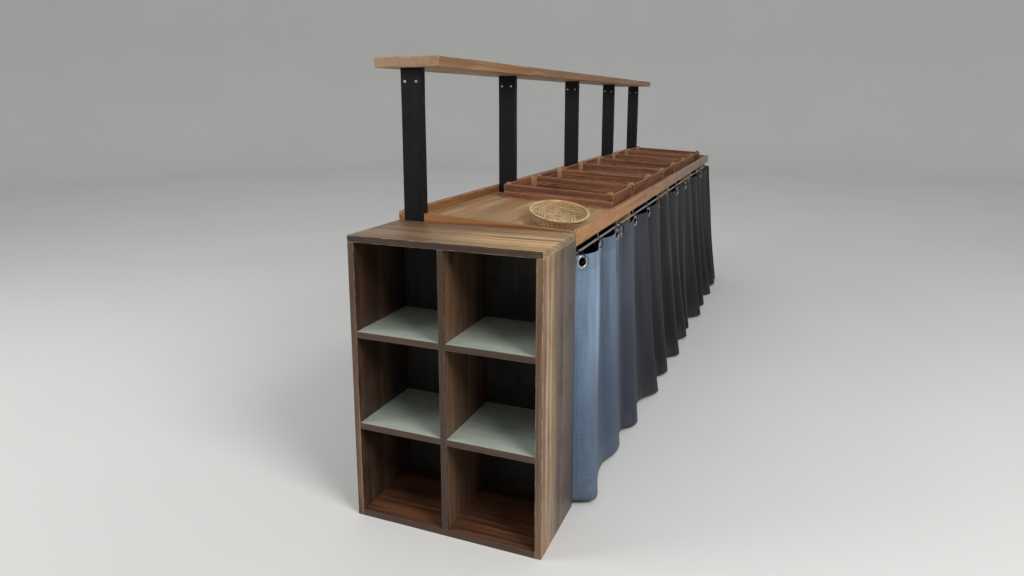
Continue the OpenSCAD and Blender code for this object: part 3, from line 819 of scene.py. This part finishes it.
parts = [tubes(wall, oval_out(angle), UP, WILLOW)]
rows = np.arange(BOTTOM_ROWS)[:, None]
angle = turn[::2] + 0 * rows
bottom = oval_at(angle, 0 * angle) * np.linspace(*BOTTOM_SPAN, BOTTOM_ROWS)[:, None, None]
bottom[..., 2] = BOTTOM_Z + BOTTOM_DEEP * woven(angle, rows)
parts.append(tubes(bottom, oval_out(angle), UP, WILLOW))
strand = np.arange(2)[:, None] * np.pi
angle = turn + 0 * strand
twist = TWISTS * angle + strand
rim = oval_at(angle, BASKET_H - RIM_DOWN + TWIST_R * np.sin(twist))
rim += oval_out(angle) * (TWIST_R * np.cos(twist) - BEHIND)[..., None]
parts.append(tubes(rim, oval_out(angle), UP, RIM_R, 8))
angle = (np.arange(STAKES)[:, None] + 0.5) / STAKES * 2 * np.pi + np.zeros(7)
stakes = oval_at(angle, np.linspace(0, BASKET_H - STAKE_DOWN, 7)) - BEHIND * oval_out(angle)
along_oval = unit(np.stack([-np.sin(angle) * RIM_L, np.cos(angle) * RIM_W, 0 * angle], -1))
parts.append(tubes(stakes, along_oval, -oval_out(angle), STAKE_R, looped=False))
spokes = oval_at(angle[:, :1], 0 * angle[:, :1]) * np.linspace(0.04, 1, 9)[:, None]
spokes[..., 2] = BOTTOM_Z
parts.append(tubes(spokes, along_oval[:, :1], UP, SPOKE_R, looped=False))
print("woven from", sum(len(part[0]) for part in parts), "points")

# %% Willow finish, and the basket in its place
willow, t, shader = new_material("peeled willow")
grain = mark(t, "grain")
figure = place(t, wood_figure, {"Grain": grain, "Pale": rgb(226, 204, 160), "Dark": rgb(176, 142, 96),
                                "Knot Color": rgb(120, 88, 56), "Streaks": 500.0, "Ring Strength": 0.0,
                                "Pores": 0.2})
rod_tone = ramp(t, noise(t, grain, 1.0, stretch=(0, 9, 3)), 0.35, 0.7, 0, 0.45)
feed(t, shader, {"Base Color": layers(t, figure["Color"], (rod_tone, rgb(160, 124, 80))),
                 "Normal": relief(t, figure["Height"], 0.3, 0.0005), "Roughness": 0.55})
points, faces, marks = join_parts(parts)
c, s = math.cos(BASKET_TURN), math.sin(BASKET_TURN)
points = np.stack([points[:, 0] * c - points[:, 1] * s, points[:, 0] * s + points[:, 1] * c, points[:, 2]], 1)
make_piece("oval_basket_weave", on_deck(points, BASKET_UP, Y_NEAR + BASKET_ALONG), faces, [willow],
           "basket_wicker", marks, hides=["oval_basket"])
print("the basket lies", BASKET_UP, "m up the slope, turned by", round(math.degrees(BASKET_TURN)), "degrees")

# %% [markdown]
# The skirts are the island's cloth: cotton sheets on rods, held by rings through metal eyelets.
# They hang close to the rod at the top and open into broad folds at the floor. A simulation could
# find such folds, but they have to stand where the real ones stand, so each sheet is a formula:
# its plan runs round the counter, and its reach outwards grows from the rod to the hem.

# %% The plan round the counter
SKIRT_X, SKIRT_OVER, CORNER_R = 0.3705, -0.0045, 0.025
CORNER_START = SKIRT_X - CORNER_R
CORNER_LEN = CORNER_R * math.pi / 2
SIDE_LEN = (Y_END - Y_NEAR) + SKIRT_OVER - CORNER_R - 0.0003
SKIRT_HALF = CORNER_START + CORNER_LEN + SIDE_LEN


def plan(s):
    """Place and outward direction at a distance s round the counter from the middle of its far
    end: straight to the corner, a quarter circle round it, then straight along the side."""
    a, m = np.abs(s), np.where(s < 0, -1.0, 1.0)
    bend = np.clip((a - CORNER_START) / CORNER_LEN, 0, 1) * np.pi / 2
    x = m * (np.minimum(a, CORNER_START) + CORNER_R * np.sin(bend))
    y = Y_END + SKIRT_OVER - CORNER_R * (1 - np.cos(bend)) - np.maximum(a - CORNER_START - CORNER_LEN, 0)
    return x, y, m * np.sin(bend), np.cos(bend)


print("skirt runs", round(2 * SKIRT_HALF, 3), "m round the counter")

# %% Folds
PAST_EDGE, WANDER, UNEQUAL, ROD_POWER, HEM_POWER = 0.04, 0.012, 0.1, 0.62, 1.12


def smooth(x, low, high):
    x = np.clip((x - low) / (high - low), 0, 1)
    return x * x * (3 - 2 * x)


def fold_lines(length, eyes, ridges):
    """Where each fold's ridge is at the rod and at the hem, and how far it reaches there. One more
    ridge outside each end lets the wave run on to the cloth's edge."""
    hem, high = np.array(ridges, float).T
    top = (eyes[1:] + eyes[:-1]) / 2
    top = np.concatenate([[2 * eyes[0] - top[0]], top, [2 * eyes[-1] - top[-1]]])
    hem = np.concatenate([[-2 * PAST_EDGE - hem[0]], hem, [2 * (length + PAST_EDGE) - hem[-1]]])
    return top, hem, np.concatenate([high[:1], high, high[-1:]])


def fold_wave(u, t, lines, seed):
    """The folds at a distance u along the cloth and a share t of its height: 1 on a ridge, 0 in a
    valley. Ridge lines run from the middle of each bay between eyelets to their own place at the
    hem. Between two of them the wave is a cosine, raised to a power that keeps the ridges broad
    and pinches the valleys at the eyelets. Also gives the reach at the hem and a running count."""
    top, hem, high = lines
    n, low = np.arange(len(top)), t[..., None]
    ridge = top + (hem - top) * smooth(low, -0.1, 1.05) + WANDER * low * np.sin(5 * low + 2.3 * n + seed)
    after = np.clip((u[..., None] >= ridge).sum(-1), 1, len(top) - 1)
    left, right = (np.take_along_axis(ridge, (after - k)[..., None], -1)[..., 0] for k in (1, 0))
    f = np.clip((u - left) / (right - left), 0, 1)
    uneven = f + UNEQUAL * np.sin(1.9 * after + seed) * np.sin(np.pi * f) ** 2
    wave = (0.5 + 0.5 * np.cos(2 * np.pi * uneven)) ** (ROD_POWER + (HEM_POWER - ROD_POWER) * t)
    return wave, high[after - 1] + (high[after] - high[after - 1]) * smooth(f, 0.2, 0.8), after + f


print("a fold is halfway up at a quarter of its width:", smooth(0.25, 0, 0.5))

# %% How a sheet hangs
CLOTH_DROP, SAG, HEM_Z, HEM_RISE, HEM_WAVE, HEM_PERIOD = 0.034, 0.006, 0.014, 0.006, 0.004, 0.53
CLOTH_MIDDLE, FLARE_POWER, VALLEY, GATHER, LESSER, SMALL = 0.003, 1.2, 0.4, 0.021, 0.06, 0.002
OPENING, FIRST_TURN, TURN_RISE, TURN_FALL = 0.045, 0.022, 0.062, (0.1, 0.29)
TUCK, TUCK_BACK, TUCK_EDGE, MEET_REACH, MEET_TOP = 0.008, 0.004, 0.002, 0.075, 0.004


def hung_cloth(u, t, start, way, length, lines, seed, meets):
    """A point is the plan's point moved outwards by the gather at the rod, which fades down the
    cloth, by the flare, which grows as a power of t, and by lesser and small folds that run askew.
    The cloth at the shelf unit first turns outwards, so its first eyelet looks along the counter.
    At an edge that meets another sheet, both reach out equally, and what lies beyond the edge is
    set back, so that it passes behind the other sheet."""
    s = start + way * u
    x, y, nx, ny = plan(s)
    wave, high, turns = fold_wave(u, t, lines, seed)
    to_end = SKIRT_HALF - np.abs(s)
    opening = np.sin(np.pi / 2 * np.minimum(1, to_end / OPENING))
    lesser = LESSER * np.sin(2 * np.pi * (1.37 * turns + 0.5 * t) + seed) * smooth(t, 0.15, 0.7)
    small = SMALL * np.sin(2 * np.pi * (2.83 * turns - 0.6 * t) + 2 * seed) * np.sin(np.pi * t ** 0.8) ** 2
    flare = high * t ** FLARE_POWER * (VALLEY + (1 - VALLEY) * wave + lesser)
    gather = GATHER * (1 + 0.25 * np.sin(3.7 * turns + seed)) * wave * np.exp(-(t / 0.55) ** 2)
    near_end = smooth(to_end, 0, TURN_RISE) * (1 - smooth(to_end, *TURN_FALL))
    turn_out = FIRST_TURN * near_end * np.exp(-(t / 0.5) ** 2)
    out = CLOTH_MIDDLE + (flare + gather + small) * opening + turn_out
    for reach, inside in zip(meets, (u, length - u)):
        if reach:
            shared = CLOTH_MIDDLE + MEET_TOP * (1 - t) + reach * t ** FLARE_POWER
            set_back = TUCK_BACK * (1 - smooth(inside, -TUCK + TUCK_EDGE, 0.0))
            out = shared + (out - shared) * smooth(inside, 0.0, MEET_REACH) - set_back
    z_top = LIP_Z + (LIP_IN - np.clip(x, -LIP_IN, LIP_IN)) * math.tan(SLOPE) - CLOTH_DROP
    sag = SAG * wave * np.exp(-t / 0.05)
    hem_z = HEM_Z + HEM_RISE * (1 - wave) + HEM_WAVE * np.sin(2 * np.pi * u / HEM_PERIOD + seed)
    return np.stack([x + nx * out, y + ny * out, z_top * (1 - t) + hem_z * t - sag], -1)


print("the hem hangs", HEM_Z, "m above the floor")

# %% [markdown]
# Woven cotton needs three scales: threads under a millimetre, slubs and faded streaks of a few
# centimetres down the cloth, and the sewn header, hems and their stitches. All of them follow the
# cloth, so they read the distances that each sheet carries with it: across, down and to its edges.

# %% Weave and stitch groups
weave_group, gi, go = new_group("Plain weave", [("Cloth", "Vector"), ("Pitch", "Float", 0.0011)],
                                [("Thread", "Float"), ("Slub", "Float"), ("Height", "Float")])
t = weave_group
uv = split(t, gi["Cloth"])
turns = calc(t, "DIVIDE", 2 * math.pi, gi["Pitch"])
warp, weft = [calc(t, "SINE", times(t, uv[k], turns)) for k in (0, 1)]
thread = calc(t, "MULTIPLY_ADD", times(t, warp, weft), 0.5, 0.5)
down, over = [noise(t, gi["Cloth"], 1.0, 3.0, stretch=s) for s in ((420.0, 14.0, 1), (16.0, 420.0, 1))]
slub = times(t, plus(t, down, over), 0.5)
feed(t, go, {"Thread": thread, "Slub": slub, "Height": calc(t, "MULTIPLY_ADD", thread, 0.45, slub)})

STITCH, THREAD_IN, THREAD_OUT, FOLD_SOFT = 0.004, 0.0004, 0.0011, 0.002
stitch_group, gi, go = new_group("Stitched edges", [
    ("Edges", "Vector"), ("Cloth", "Vector"), ("Header", "Float", 0.06), ("Hem", "Float", 0.03),
    ("Side", "Float", 0.012)], [("Stitch", "Float"), ("Fold", "Float")])
t = stitch_group


def seam(distance, width, run):
    """A row of stitches with gaps at this distance from an edge, and the fold inside it."""
    off = calc(t, "ABSOLUTE", less(t, distance, width))
    line = less(t, 1.0, ramp(t, off, THREAD_IN, THREAD_OUT))
    dash = ramp(t, calc(t, "SINE", times(t, run, 2 * math.pi / STITCH)), -0.5, 0.1)
    fold = less(t, 1.0, ramp(t, distance, width, plus(t, width, FOLD_SOFT)))
    return times(t, line, dash), fold


away, uv = split(t, gi["Edges"]), split(t, gi["Cloth"])
seams = [seam(away[edge], gi[name], uv[run])
         for edge, name, run in ((1, "Header", 0), (2, "Hem", 0), (0, "Side", 1))]
stitch, fold = [calc(t, "MAXIMUM", calc(t, "MAXIMUM", a, b), c) for a, b, c in zip(*seams)]
feed(t, go, {"Stitch": stitch, "Fold": fold})
print("weave group:", len(weave_group.nodes), "nodes, stitch group:", len(stitch_group.nodes), "nodes")

# %% Cloth finishes
def cloth_finish(name, ground, lit_and_faded, thread, dusty, later=None, where=(0.0, 1.0)):
    """Cotton: the ground colour shows in the valleys, and the ridges turn to the second colour as
    painted light on the folds; faded streaks turn to it too. later is a pair like the first two
    colours that the cloth turns to between two distances along it, where it is darker."""
    material, t, shader = new_material(name)
    cloth, edges, ridge = mark(t, "cloth"), mark(t, "edges"), mark(t, "ridge", "Fac")
    weave = place(t, weave_group, {"Cloth": cloth})
    sewn = place(t, stitch_group, {"Edges": edges, "Cloth": cloth})
    low = split(t, edges)[2]
    fade = noise(t, cloth, 1.0, 4.0, 0.55, stretch=(14.0, 1.3, 1))
    patch = ramp(t, noise(t, cloth, 1.0, stretch=(4.0, 2.2, 1)), 0.3, 0.72, 0.0, 0.38)
    # ridge times 0.36 is painted light on the fold ridges; patch and fade are the cloth's own uneven tone.
    tone = plus(t, plus(t, times(t, ridge, 0.36), patch), ramp(t, fade, 0.35, 0.68, 0.0, 0.26))
    # The tone falls towards the hem and rises near the rod: painted shade and light down the cloth.
    tone = times(t, tone, ramp(t, low, 0.3, 0.78, 0.22, 1.22), clamp=True)
    if later:
        along = ramp(t, split(t, cloth)[0], *where)
        ground, lit_and_faded = layers(t, ground, (along, later[0])), layers(t, lit_and_faded, (along, later[1]))
    dust = times(t, ramp(t, low, 0.14, 0.0), ramp(t, fade, 0.3, 0.7, 0.05, 0.32))
    # In these layers the thread term darkens the weave's hollows: painted shade between threads.
    color = layers(t, ground, (tone, lit_and_faded), (ramp(t, weave["Slub"], 0.38, 0.62, 0.0, 0.2), lit_and_faded),
                   (times(t, sewn["Fold"], 0.22), ground),
                   (ramp(t, weave["Thread"], 0.0, 0.35, 0.18, 0.0), rgb(20, 22, 26)),
                   (times(t, sewn["Stitch"], 0.7), thread), (dust, dusty))
    sewn_height = less(t, times(t, sewn["Fold"], 0.9), times(t, sewn["Stitch"], 0.6))
    height = plus(t, times(t, weave["Height"], 0.35), sewn_height)
    feed(t, shader, {"Base Color": color, "Normal": relief(t, height, 0.5, 0.0007), "Roughness": 0.9,
                     "Specular IOR Level": 0.25, "Sheen Weight": 0.06, "Sheen Roughness": 0.5})
    return material


denim = cloth_finish("slate blue cotton", rgb(56, 73, 92), rgb(140, 160, 184), rgb(52, 69, 92),
                     rgb(120, 123, 122), later=(rgb(48, 61, 78), rgb(104, 120, 141)), where=(0.16, 0.42))
slate = cloth_finish("slate grey cotton", rgb(40, 44, 56), rgb(72, 74, 90), rgb(38, 38, 46), rgb(90, 86, 82),
                     later=(rgb(14, 14, 17), rgb(38, 37, 41)), where=(0.1, 0.66))
charcoal = cloth_finish("charcoal cotton", rgb(16, 16, 18), rgb(41, 40, 42), rgb(15, 15, 17), rgb(78, 74, 70))
print("three cotton finishes with stitches", STITCH, "m long")

# %% [markdown]
# Each sheet is cut, hemmed and given eyelets near its ends and at even steps between them. The grid
# is finer round the eyelets, where faces are left out for the holes; the metal eyelet covers their
# edge. A sheet's first edge passes behind the sheet before it, or light would shine through the
# slit. We measure how long the cloth is along its rows, print that size and give it back as the flat size.

# %% Where a sheet is cut
EYE_DOWN, EYE_IN, EYE_STEP, HOLE_R, COLLAR_R = 0.0285, 0.036, 0.32, 0.0165, 0.0265
CLOTH_T, CLOTH_H = 0.0014, 0.985
FINE, COARSE_ACROSS, COARSE_DOWN = 0.0045, 0.0105, 0.019
FINE_ACROSS, FINE_DOWN = 0.0315, 0.0284
PRESSED, FREE, METAL_OVER = 0.028, 0.042, 0.0012


def cut_places(length, coarse, centres, around):
    """Places along a length: even coarse steps, and fine ones within a distance round each centre."""
    even = np.linspace(0, length, max(2, int(round(length / coarse)) + 1))
    fine = []
    for centre in centres:
        even = even[np.abs(even - centre) > around + 0.3 * coarse]
        fine.append(centre + np.linspace(-around, around, int(round(2 * around / FINE)) + 1))
    return np.unique(np.clip(np.concatenate([[0, length], even, *fine]), 0, length).round(6))


def eyelet_places(length):
    bays = max(1, math.ceil((length - 2 * EYE_IN) / EYE_STEP))
    return EYE_IN + np.arange(bays + 1) * (length - 2 * EYE_IN) / bays


def pressed_flat(points, u, v, eye, centre, along, down):
    """The metal presses the cloth flat: near an eyelet the points move into its plane."""
    du, dv = u - eye, v - EYE_DOWN
    share = (1 - smooth(np.hypot(du, dv), PRESSED, FREE))[..., None]
    return points * (1 - share) + share * (centre + du[..., None] * along + dv[..., None] * down)


def with_holes(faces, spot, eyes):
    """Faces whose every corner is in an eyelet's hole are left out, and unused points are dropped.
    Gives the faces in the new numbers and which points are kept."""
    holes = np.stack([eyes, np.full(len(eyes), EYE_DOWN)], 1)
    far = np.min(np.linalg.norm(spot[:, None] - holes[None], axis=2), axis=1)
    faces = faces[far[faces].max(1) >= COLLAR_R - METAL_OVER]
    used, numbers = np.unique(faces, return_inverse=True)
    return numbers.reshape(faces.shape), used


print("a sheet 1 m wide has eyelets at", np.round(eyelet_places(1.0), 3))

# %% One sheet
ROD_IN, ROD_UP = 0.008, 0.002


def eyelet_frame(e, start, way, shape):
    """An eyelet's centre, and the directions along and down the cloth there, from points a small
    step apart."""
    step = 0.004
    u, v = np.array([e, e + step, e]), np.array([EYE_DOWN, EYE_DOWN, EYE_DOWN + step])
    centre, aside, below = hung_cloth(u, v / CLOTH_H, *shape)
    return centre, (aside - centre) / step, (below - centre) / step


def sheet_of_cloth(name, start, end, material, slot, seed, nodes, ridges, meets, tucks):
    """The grid of one sheet between two distances on the plan, with its holes, as a cloth piece.
    meets is how far the hem reaches out at an edge that meets another sheet, tucks is 1 where that
    edge goes behind. Also gives the flat size, and each eyelet's centre, normal and place on the rod."""
    way = 1.0 if end > start else -1.0
    length = abs(end - start)
    eyes = eyelet_places(length)
    lines = fold_lines(length, eyes, ridges)
    shape = (start, way, length, lines, seed, meets)
    hidden = np.array([TUCK, TUCK - TUCK_EDGE, TUCK / 2, TUCK_EDGE])
    u = cut_places(length, COARSE_ACROSS, eyes, FINE_ACROSS)
    u = np.concatenate([-hidden[:4 * tucks[0]], u, (length + hidden[::-1])[:4 * tucks[1]]])
    v = cut_places(CLOTH_H, COARSE_DOWN, [EYE_DOWN], FINE_DOWN)
    across, down = np.meshgrid(u, v, indexing="ij")
    points = hung_cloth(across, down / CLOTH_H, *shape)
    fittings = []
    for e in eyes:
        centre, along, fall = eyelet_frame(e, start, way, shape)
        points = pressed_flat(points, across, down, e, centre, along, fall)
        x, y, nx, ny = plan(np.array(start + way * e))
        rod = np.array([x - ROD_IN * nx, y - ROD_IN * ny, centre[2] + EYE_DOWN + ROD_UP])
        fittings.append((centre, np.cross(along, fall) * way, rod))
    steps_across = np.linalg.norm(np.diff(points, axis=0), axis=2)
    along_u = np.concatenate([[0], np.cumsum(steps_across[:, len(v) // 2])])
    to_side = np.minimum(u - u[0], u[-1] - u)
    cloth = np.stack(np.broadcast_arrays(along_u[:, None], v, seed * 3.0), -1)
    edges = np.stack(np.broadcast_arrays(to_side[:, None], v, CLOTH_H - v), -1)
    # The fold wave goes with the sheet as its ridge mark, for the painted light on the fold ridges.
    ridge = fold_wave(across, down / CLOTH_H, lines, seed)[0]
    faces = lattice(len(u), len(v), closed=False)
    spot = np.stack([across, down], -1).reshape(-1, 2)
    faces, used = with_holes(faces[:, ::-1] if way > 0 else faces, spot, eyes)
    marks = {"cloth": cloth.reshape(-1, 3)[used], "edges": edges.reshape(-1, 3)[used],
             "ridge": ridge.ravel()[used]}
    piece = make_piece(name, points.reshape(-1, 3)[used], [faces], [material], slot, marks, hides=nodes)
    thick = piece.modifiers.new("cloth thickness", "SOLIDIFY")
    thick.thickness, thick.offset, thick.use_even_offset = CLOTH_T, 0.0, False
    widths = steps_across.sum(0)[[1, len(v) // 2, len(v) - 1]]
    drop = np.linalg.norm(np.diff(points, axis=1), axis=2).sum(1).mean()
    print(name, "rows", np.round(widths, 3), "drop", round(drop, 3), "eyelets", len(eyes))
    return piece, (round(float(np.mean(widths)), 3), round(float(drop), 3)), fittings


# %% Seven sheets
NEAR_W, MIDDLE_W, SEAM, WRAP = 0.66, 1.65, 0.002, 0.15
NEAR_MEET, FAR_MEET, END_MEET = 0.038, 0.05, 0.058
near_s, end_s = SKIRT_HALF - NEAR_W, CORNER_START + CORNER_LEN + WRAP
middle_s = near_s - MIDDLE_W
CUTS = (("near", near_s, SKIRT_HALF, denim, "denim_cloth", (0, NEAR_MEET)),
        ("middle", middle_s, near_s - SEAM, slate, "charcoal_cloth", (NEAR_MEET, FAR_MEET)),
        ("far", end_s + SEAM, middle_s - SEAM, charcoal, "charcoal_cloth", (FAR_MEET, END_MEET)))
FOLDS = {"right_near": ((0.062, 0.078), (0.5, 0.07)),
         "right_middle": ((0.15, 0.092), (0.545, 0.112), (0.86, 0.108), (1.2, 0.136), (1.52, 0.118)),
         "right_far": ((0.09, 0.108), (0.42, 0.138), (0.72, 0.142), (1.07, 0.14), (1.38, 0.136)),
         "left_near": ((0.12, 0.078), (0.5, 0.09)),
         "left_middle": ((0.2, 0.096), (0.5, 0.12), (0.84, 0.128), (1.12, 0.134), (1.47, 0.126)),
         "left_far": ((0.14, 0.12), (0.45, 0.138), (0.79, 0.14), (1.02, 0.136), (1.4, 0.132)),
         "end": ((0.17, 0.125), (0.46, 0.104), (0.78, 0.1), (1.0, 0.122))}
sheets = {}
for side, sign in (("right", 1), ("left", -1)):
    for k, (part, low, high, material, slot, meets) in enumerate(CUTS):
        name = f"skirt_{side}_{part}"
        sheets[name] = sheet_of_cloth(name + "_cloth", sign * high, sign * low, material, slot,
                                      1.7 * k + sign, [name], FOLDS[f"{side}_{part}"], meets,
                                      (int(k > 0), 0))
sheets["skirt_end"] = sheet_of_cloth("skirt_end_cloth", -end_s, end_s, charcoal, "charcoal_cloth", 5.0,
                                     ["skirt_end"], FOLDS["end"], (END_MEET, END_MEET), (1, 1))

# %% [markdown]
# An eyelet is two pressed metal collars that grip the cloth: a flat, rounded ring. Through each goes
# a black wire ring that is slipped over the rod. Both are tubes along an ellipse, which need not be
# round themselves. The eyelets of a sheet are one piece, and so are its rings.

# %% Eyelets and hanging rings
WIRE, RING_HIGH, RING_SPARE, RING_UP = 0.0023, 0.0225, 0.011, 0.0085
COLLAR_MID, COLLAR_T = (HOLE_R + COLLAR_R) / 2, 0.0021
COLLAR_STEPS, RING_STEPS = (28, 8), (24, 6)


def oval_ring(centre, first, second, radii, half_wide, half_thick, steps, sides):
    """The path is an ellipse: its radii times the cosine along first and the sine along second.
    Its outward way has the radii changed over. The profile is wide that way and thick across it."""
    a = round_angles(steps)[:, None]
    path = centre + radii[0] * np.cos(a) * first + radii[1] * np.sin(a) * second
    out = unit(radii[1] * np.cos(a) * first + radii[0] * np.sin(a) * second)
    return tubes(path[None], half_wide * out[None], half_thick * np.cross(first, second), 1, sides)


eyelet_metal = plain_metal("pale eyelet metal", rgb(180, 182, 186), 0.34)
black_wire = plain_metal("black wire", rgb(30, 30, 34), 0.4, 0.3, 0.6)
for name, (cloth_piece, flat, fittings) in sheets.items():
    collars, hangers = [], []
    for centre, normal, rod in fittings:
        normal = unit(normal)
        across = unit(np.cross(UP, normal))
        collars.append(oval_ring(centre, across, np.cross(normal, across), (COLLAR_MID, COLLAR_MID),
                                 (COLLAR_R - HOLE_R) / 2, COLLAR_T, *COLLAR_STEPS))
        gap = (centre - rod) * [1, 1, 0]
        wide = np.linalg.norm(gap)
        hangers.append(oval_ring(rod + gap / 2 - UP * (RING_HIGH - RING_UP), gap / wide, UP,
                                 (wide / 2 + RING_SPARE, RING_HIGH), WIRE, WIRE, *RING_STEPS))
    eyelets = make_piece(name + "_eyelets", *join_parts(collars)[:2], [eyelet_metal], "rod_steel")
    rings = make_piece(name + "_rings", *join_parts(hangers)[:2], [black_wire], "rod_steel")
rod_steel = plain_metal("bright drawn steel", rgb(206, 208, 208), 0.42)
dress("skirt_rods", rod_steel)
dress("screw_eyes", rod_steel)
print(sum(len(sheet[2]) for sheet in sheets.values()), "eyelets, each with a ring")

# %% [markdown]
# Two screws go down through the plank into each post, and two more show on the post's near face,
# just below the plank. Their places come from the construction's own boxes, so they would follow if
# a post were moved. All of them are one piece, made by the function for screw heads above.

# %% Screws in the posts and the plank
SCREW_IN, SCREW_DOWN, PLANK_SCREW_IN = 0.02, 0.052, 0.022
in_posts, in_plank = [], []
plank_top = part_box("plank_near")[1].z
for node in POSTS:
    low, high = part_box(node)
    in_posts += [(x, low.y, high.z - SCREW_DOWN) for x in (low.x + SCREW_IN, high.x - SCREW_IN)]
    in_plank += [(x, (low.y + high.y) / 2, plank_top)
                 for x in (low.x + PLANK_SCREW_IN, high.x - PLANK_SCREW_IN)]
screw_steel = plain_metal("bright screw steel", rgb(196, 194, 188), 0.32, 0.4)
make_piece("plank_screws", *join_parts([screw_heads(in_posts, (0, -1, 0)), screw_heads(in_plank, UP)])[:2],
           [screw_steel], "rod_steel")
print(len(in_posts) + len(in_plank), "screws")

# %% [markdown]
# The floor is a plain pale studio floor that curves up far away on all sides, so that no horizon
# shows. A soft key lamp stands to the right of the camera, a weaker one to its left, and the world
# gives a plain even light, at a level at which a colour comes out about as it is written.

# %% Studio
FLOOR_R, CURVE_R, WALL_TOP, FLOOR_SIDES = 13, 3, 9.0, 96
LAMP_AIM, LAMP_SIZE = (0, 0, 0.8), 3.0


def studio_floor(material):
    """A round floor: radius and height follow a flat, a quarter circle and an upright, turned about
    Z. Its faces look up and inwards."""
    flat, bend = np.arange(1.0, FLOOR_R + 1), np.linspace(0, np.pi / 2, 13)[1:]
    r = np.concatenate([flat, FLOOR_R + CURVE_R * np.sin(bend), [FLOOR_R + CURVE_R]])[:, None]
    z = np.concatenate([flat * 0, CURVE_R * (1 - np.cos(bend)), [WALL_TOP]])[:, None]
    a = round_angles(FLOOR_SIDES)
    rings = np.stack([r * np.cos(a), r * np.sin(a), z + 0 * a], -1)
    quads, fans = capped(len(r), FLOOR_SIDES)
    points = np.concatenate([rings.reshape(-1, 3), [[0, 0, 0]]])
    return mesh_object("studio_floor", points, [quads[:, ::-1], fans[:FLOOR_SIDES, ::-1]], [material])


def soft_lamp(name, at, power):
    data = bpy.data.lights.new(name, "AREA")
    data.shape, data.size, data.energy = "DISK", LAMP_SIZE, power
    set_and_aim(bpy.data.objects.new(name, data), at, LAMP_AIM)


pale_floor, t, shader = new_material("pale floor")
cloud = noise(t, own_place(t), 0.7, 3.0)
feed(t, shader, {"Base Color": layers(t, rgb(214, 213, 210), (cloud, rgb(222, 221, 218))), "Roughness": 0.8})
floor = studio_floor(pale_floor)
soft_lamp("key_lamp", (4.6, -4.2, 4.8), 300)
soft_lamp("fill_lamp", (-4.5, -4.5, 3.6), 120)
world = bpy.data.worlds.new("studio_air")
world.use_nodes = True
air = world.node_tree
feed(air, air.nodes["Background"], {"Color": (0.95, 0.97, 1.0, 1), "Strength": 0.56})
bpy.context.scene.world = world
bpy.context.scene.view_settings.view_transform = "Standard"
print("the studio floor is", 2 * (FLOOR_R + CURVE_R), "m across")
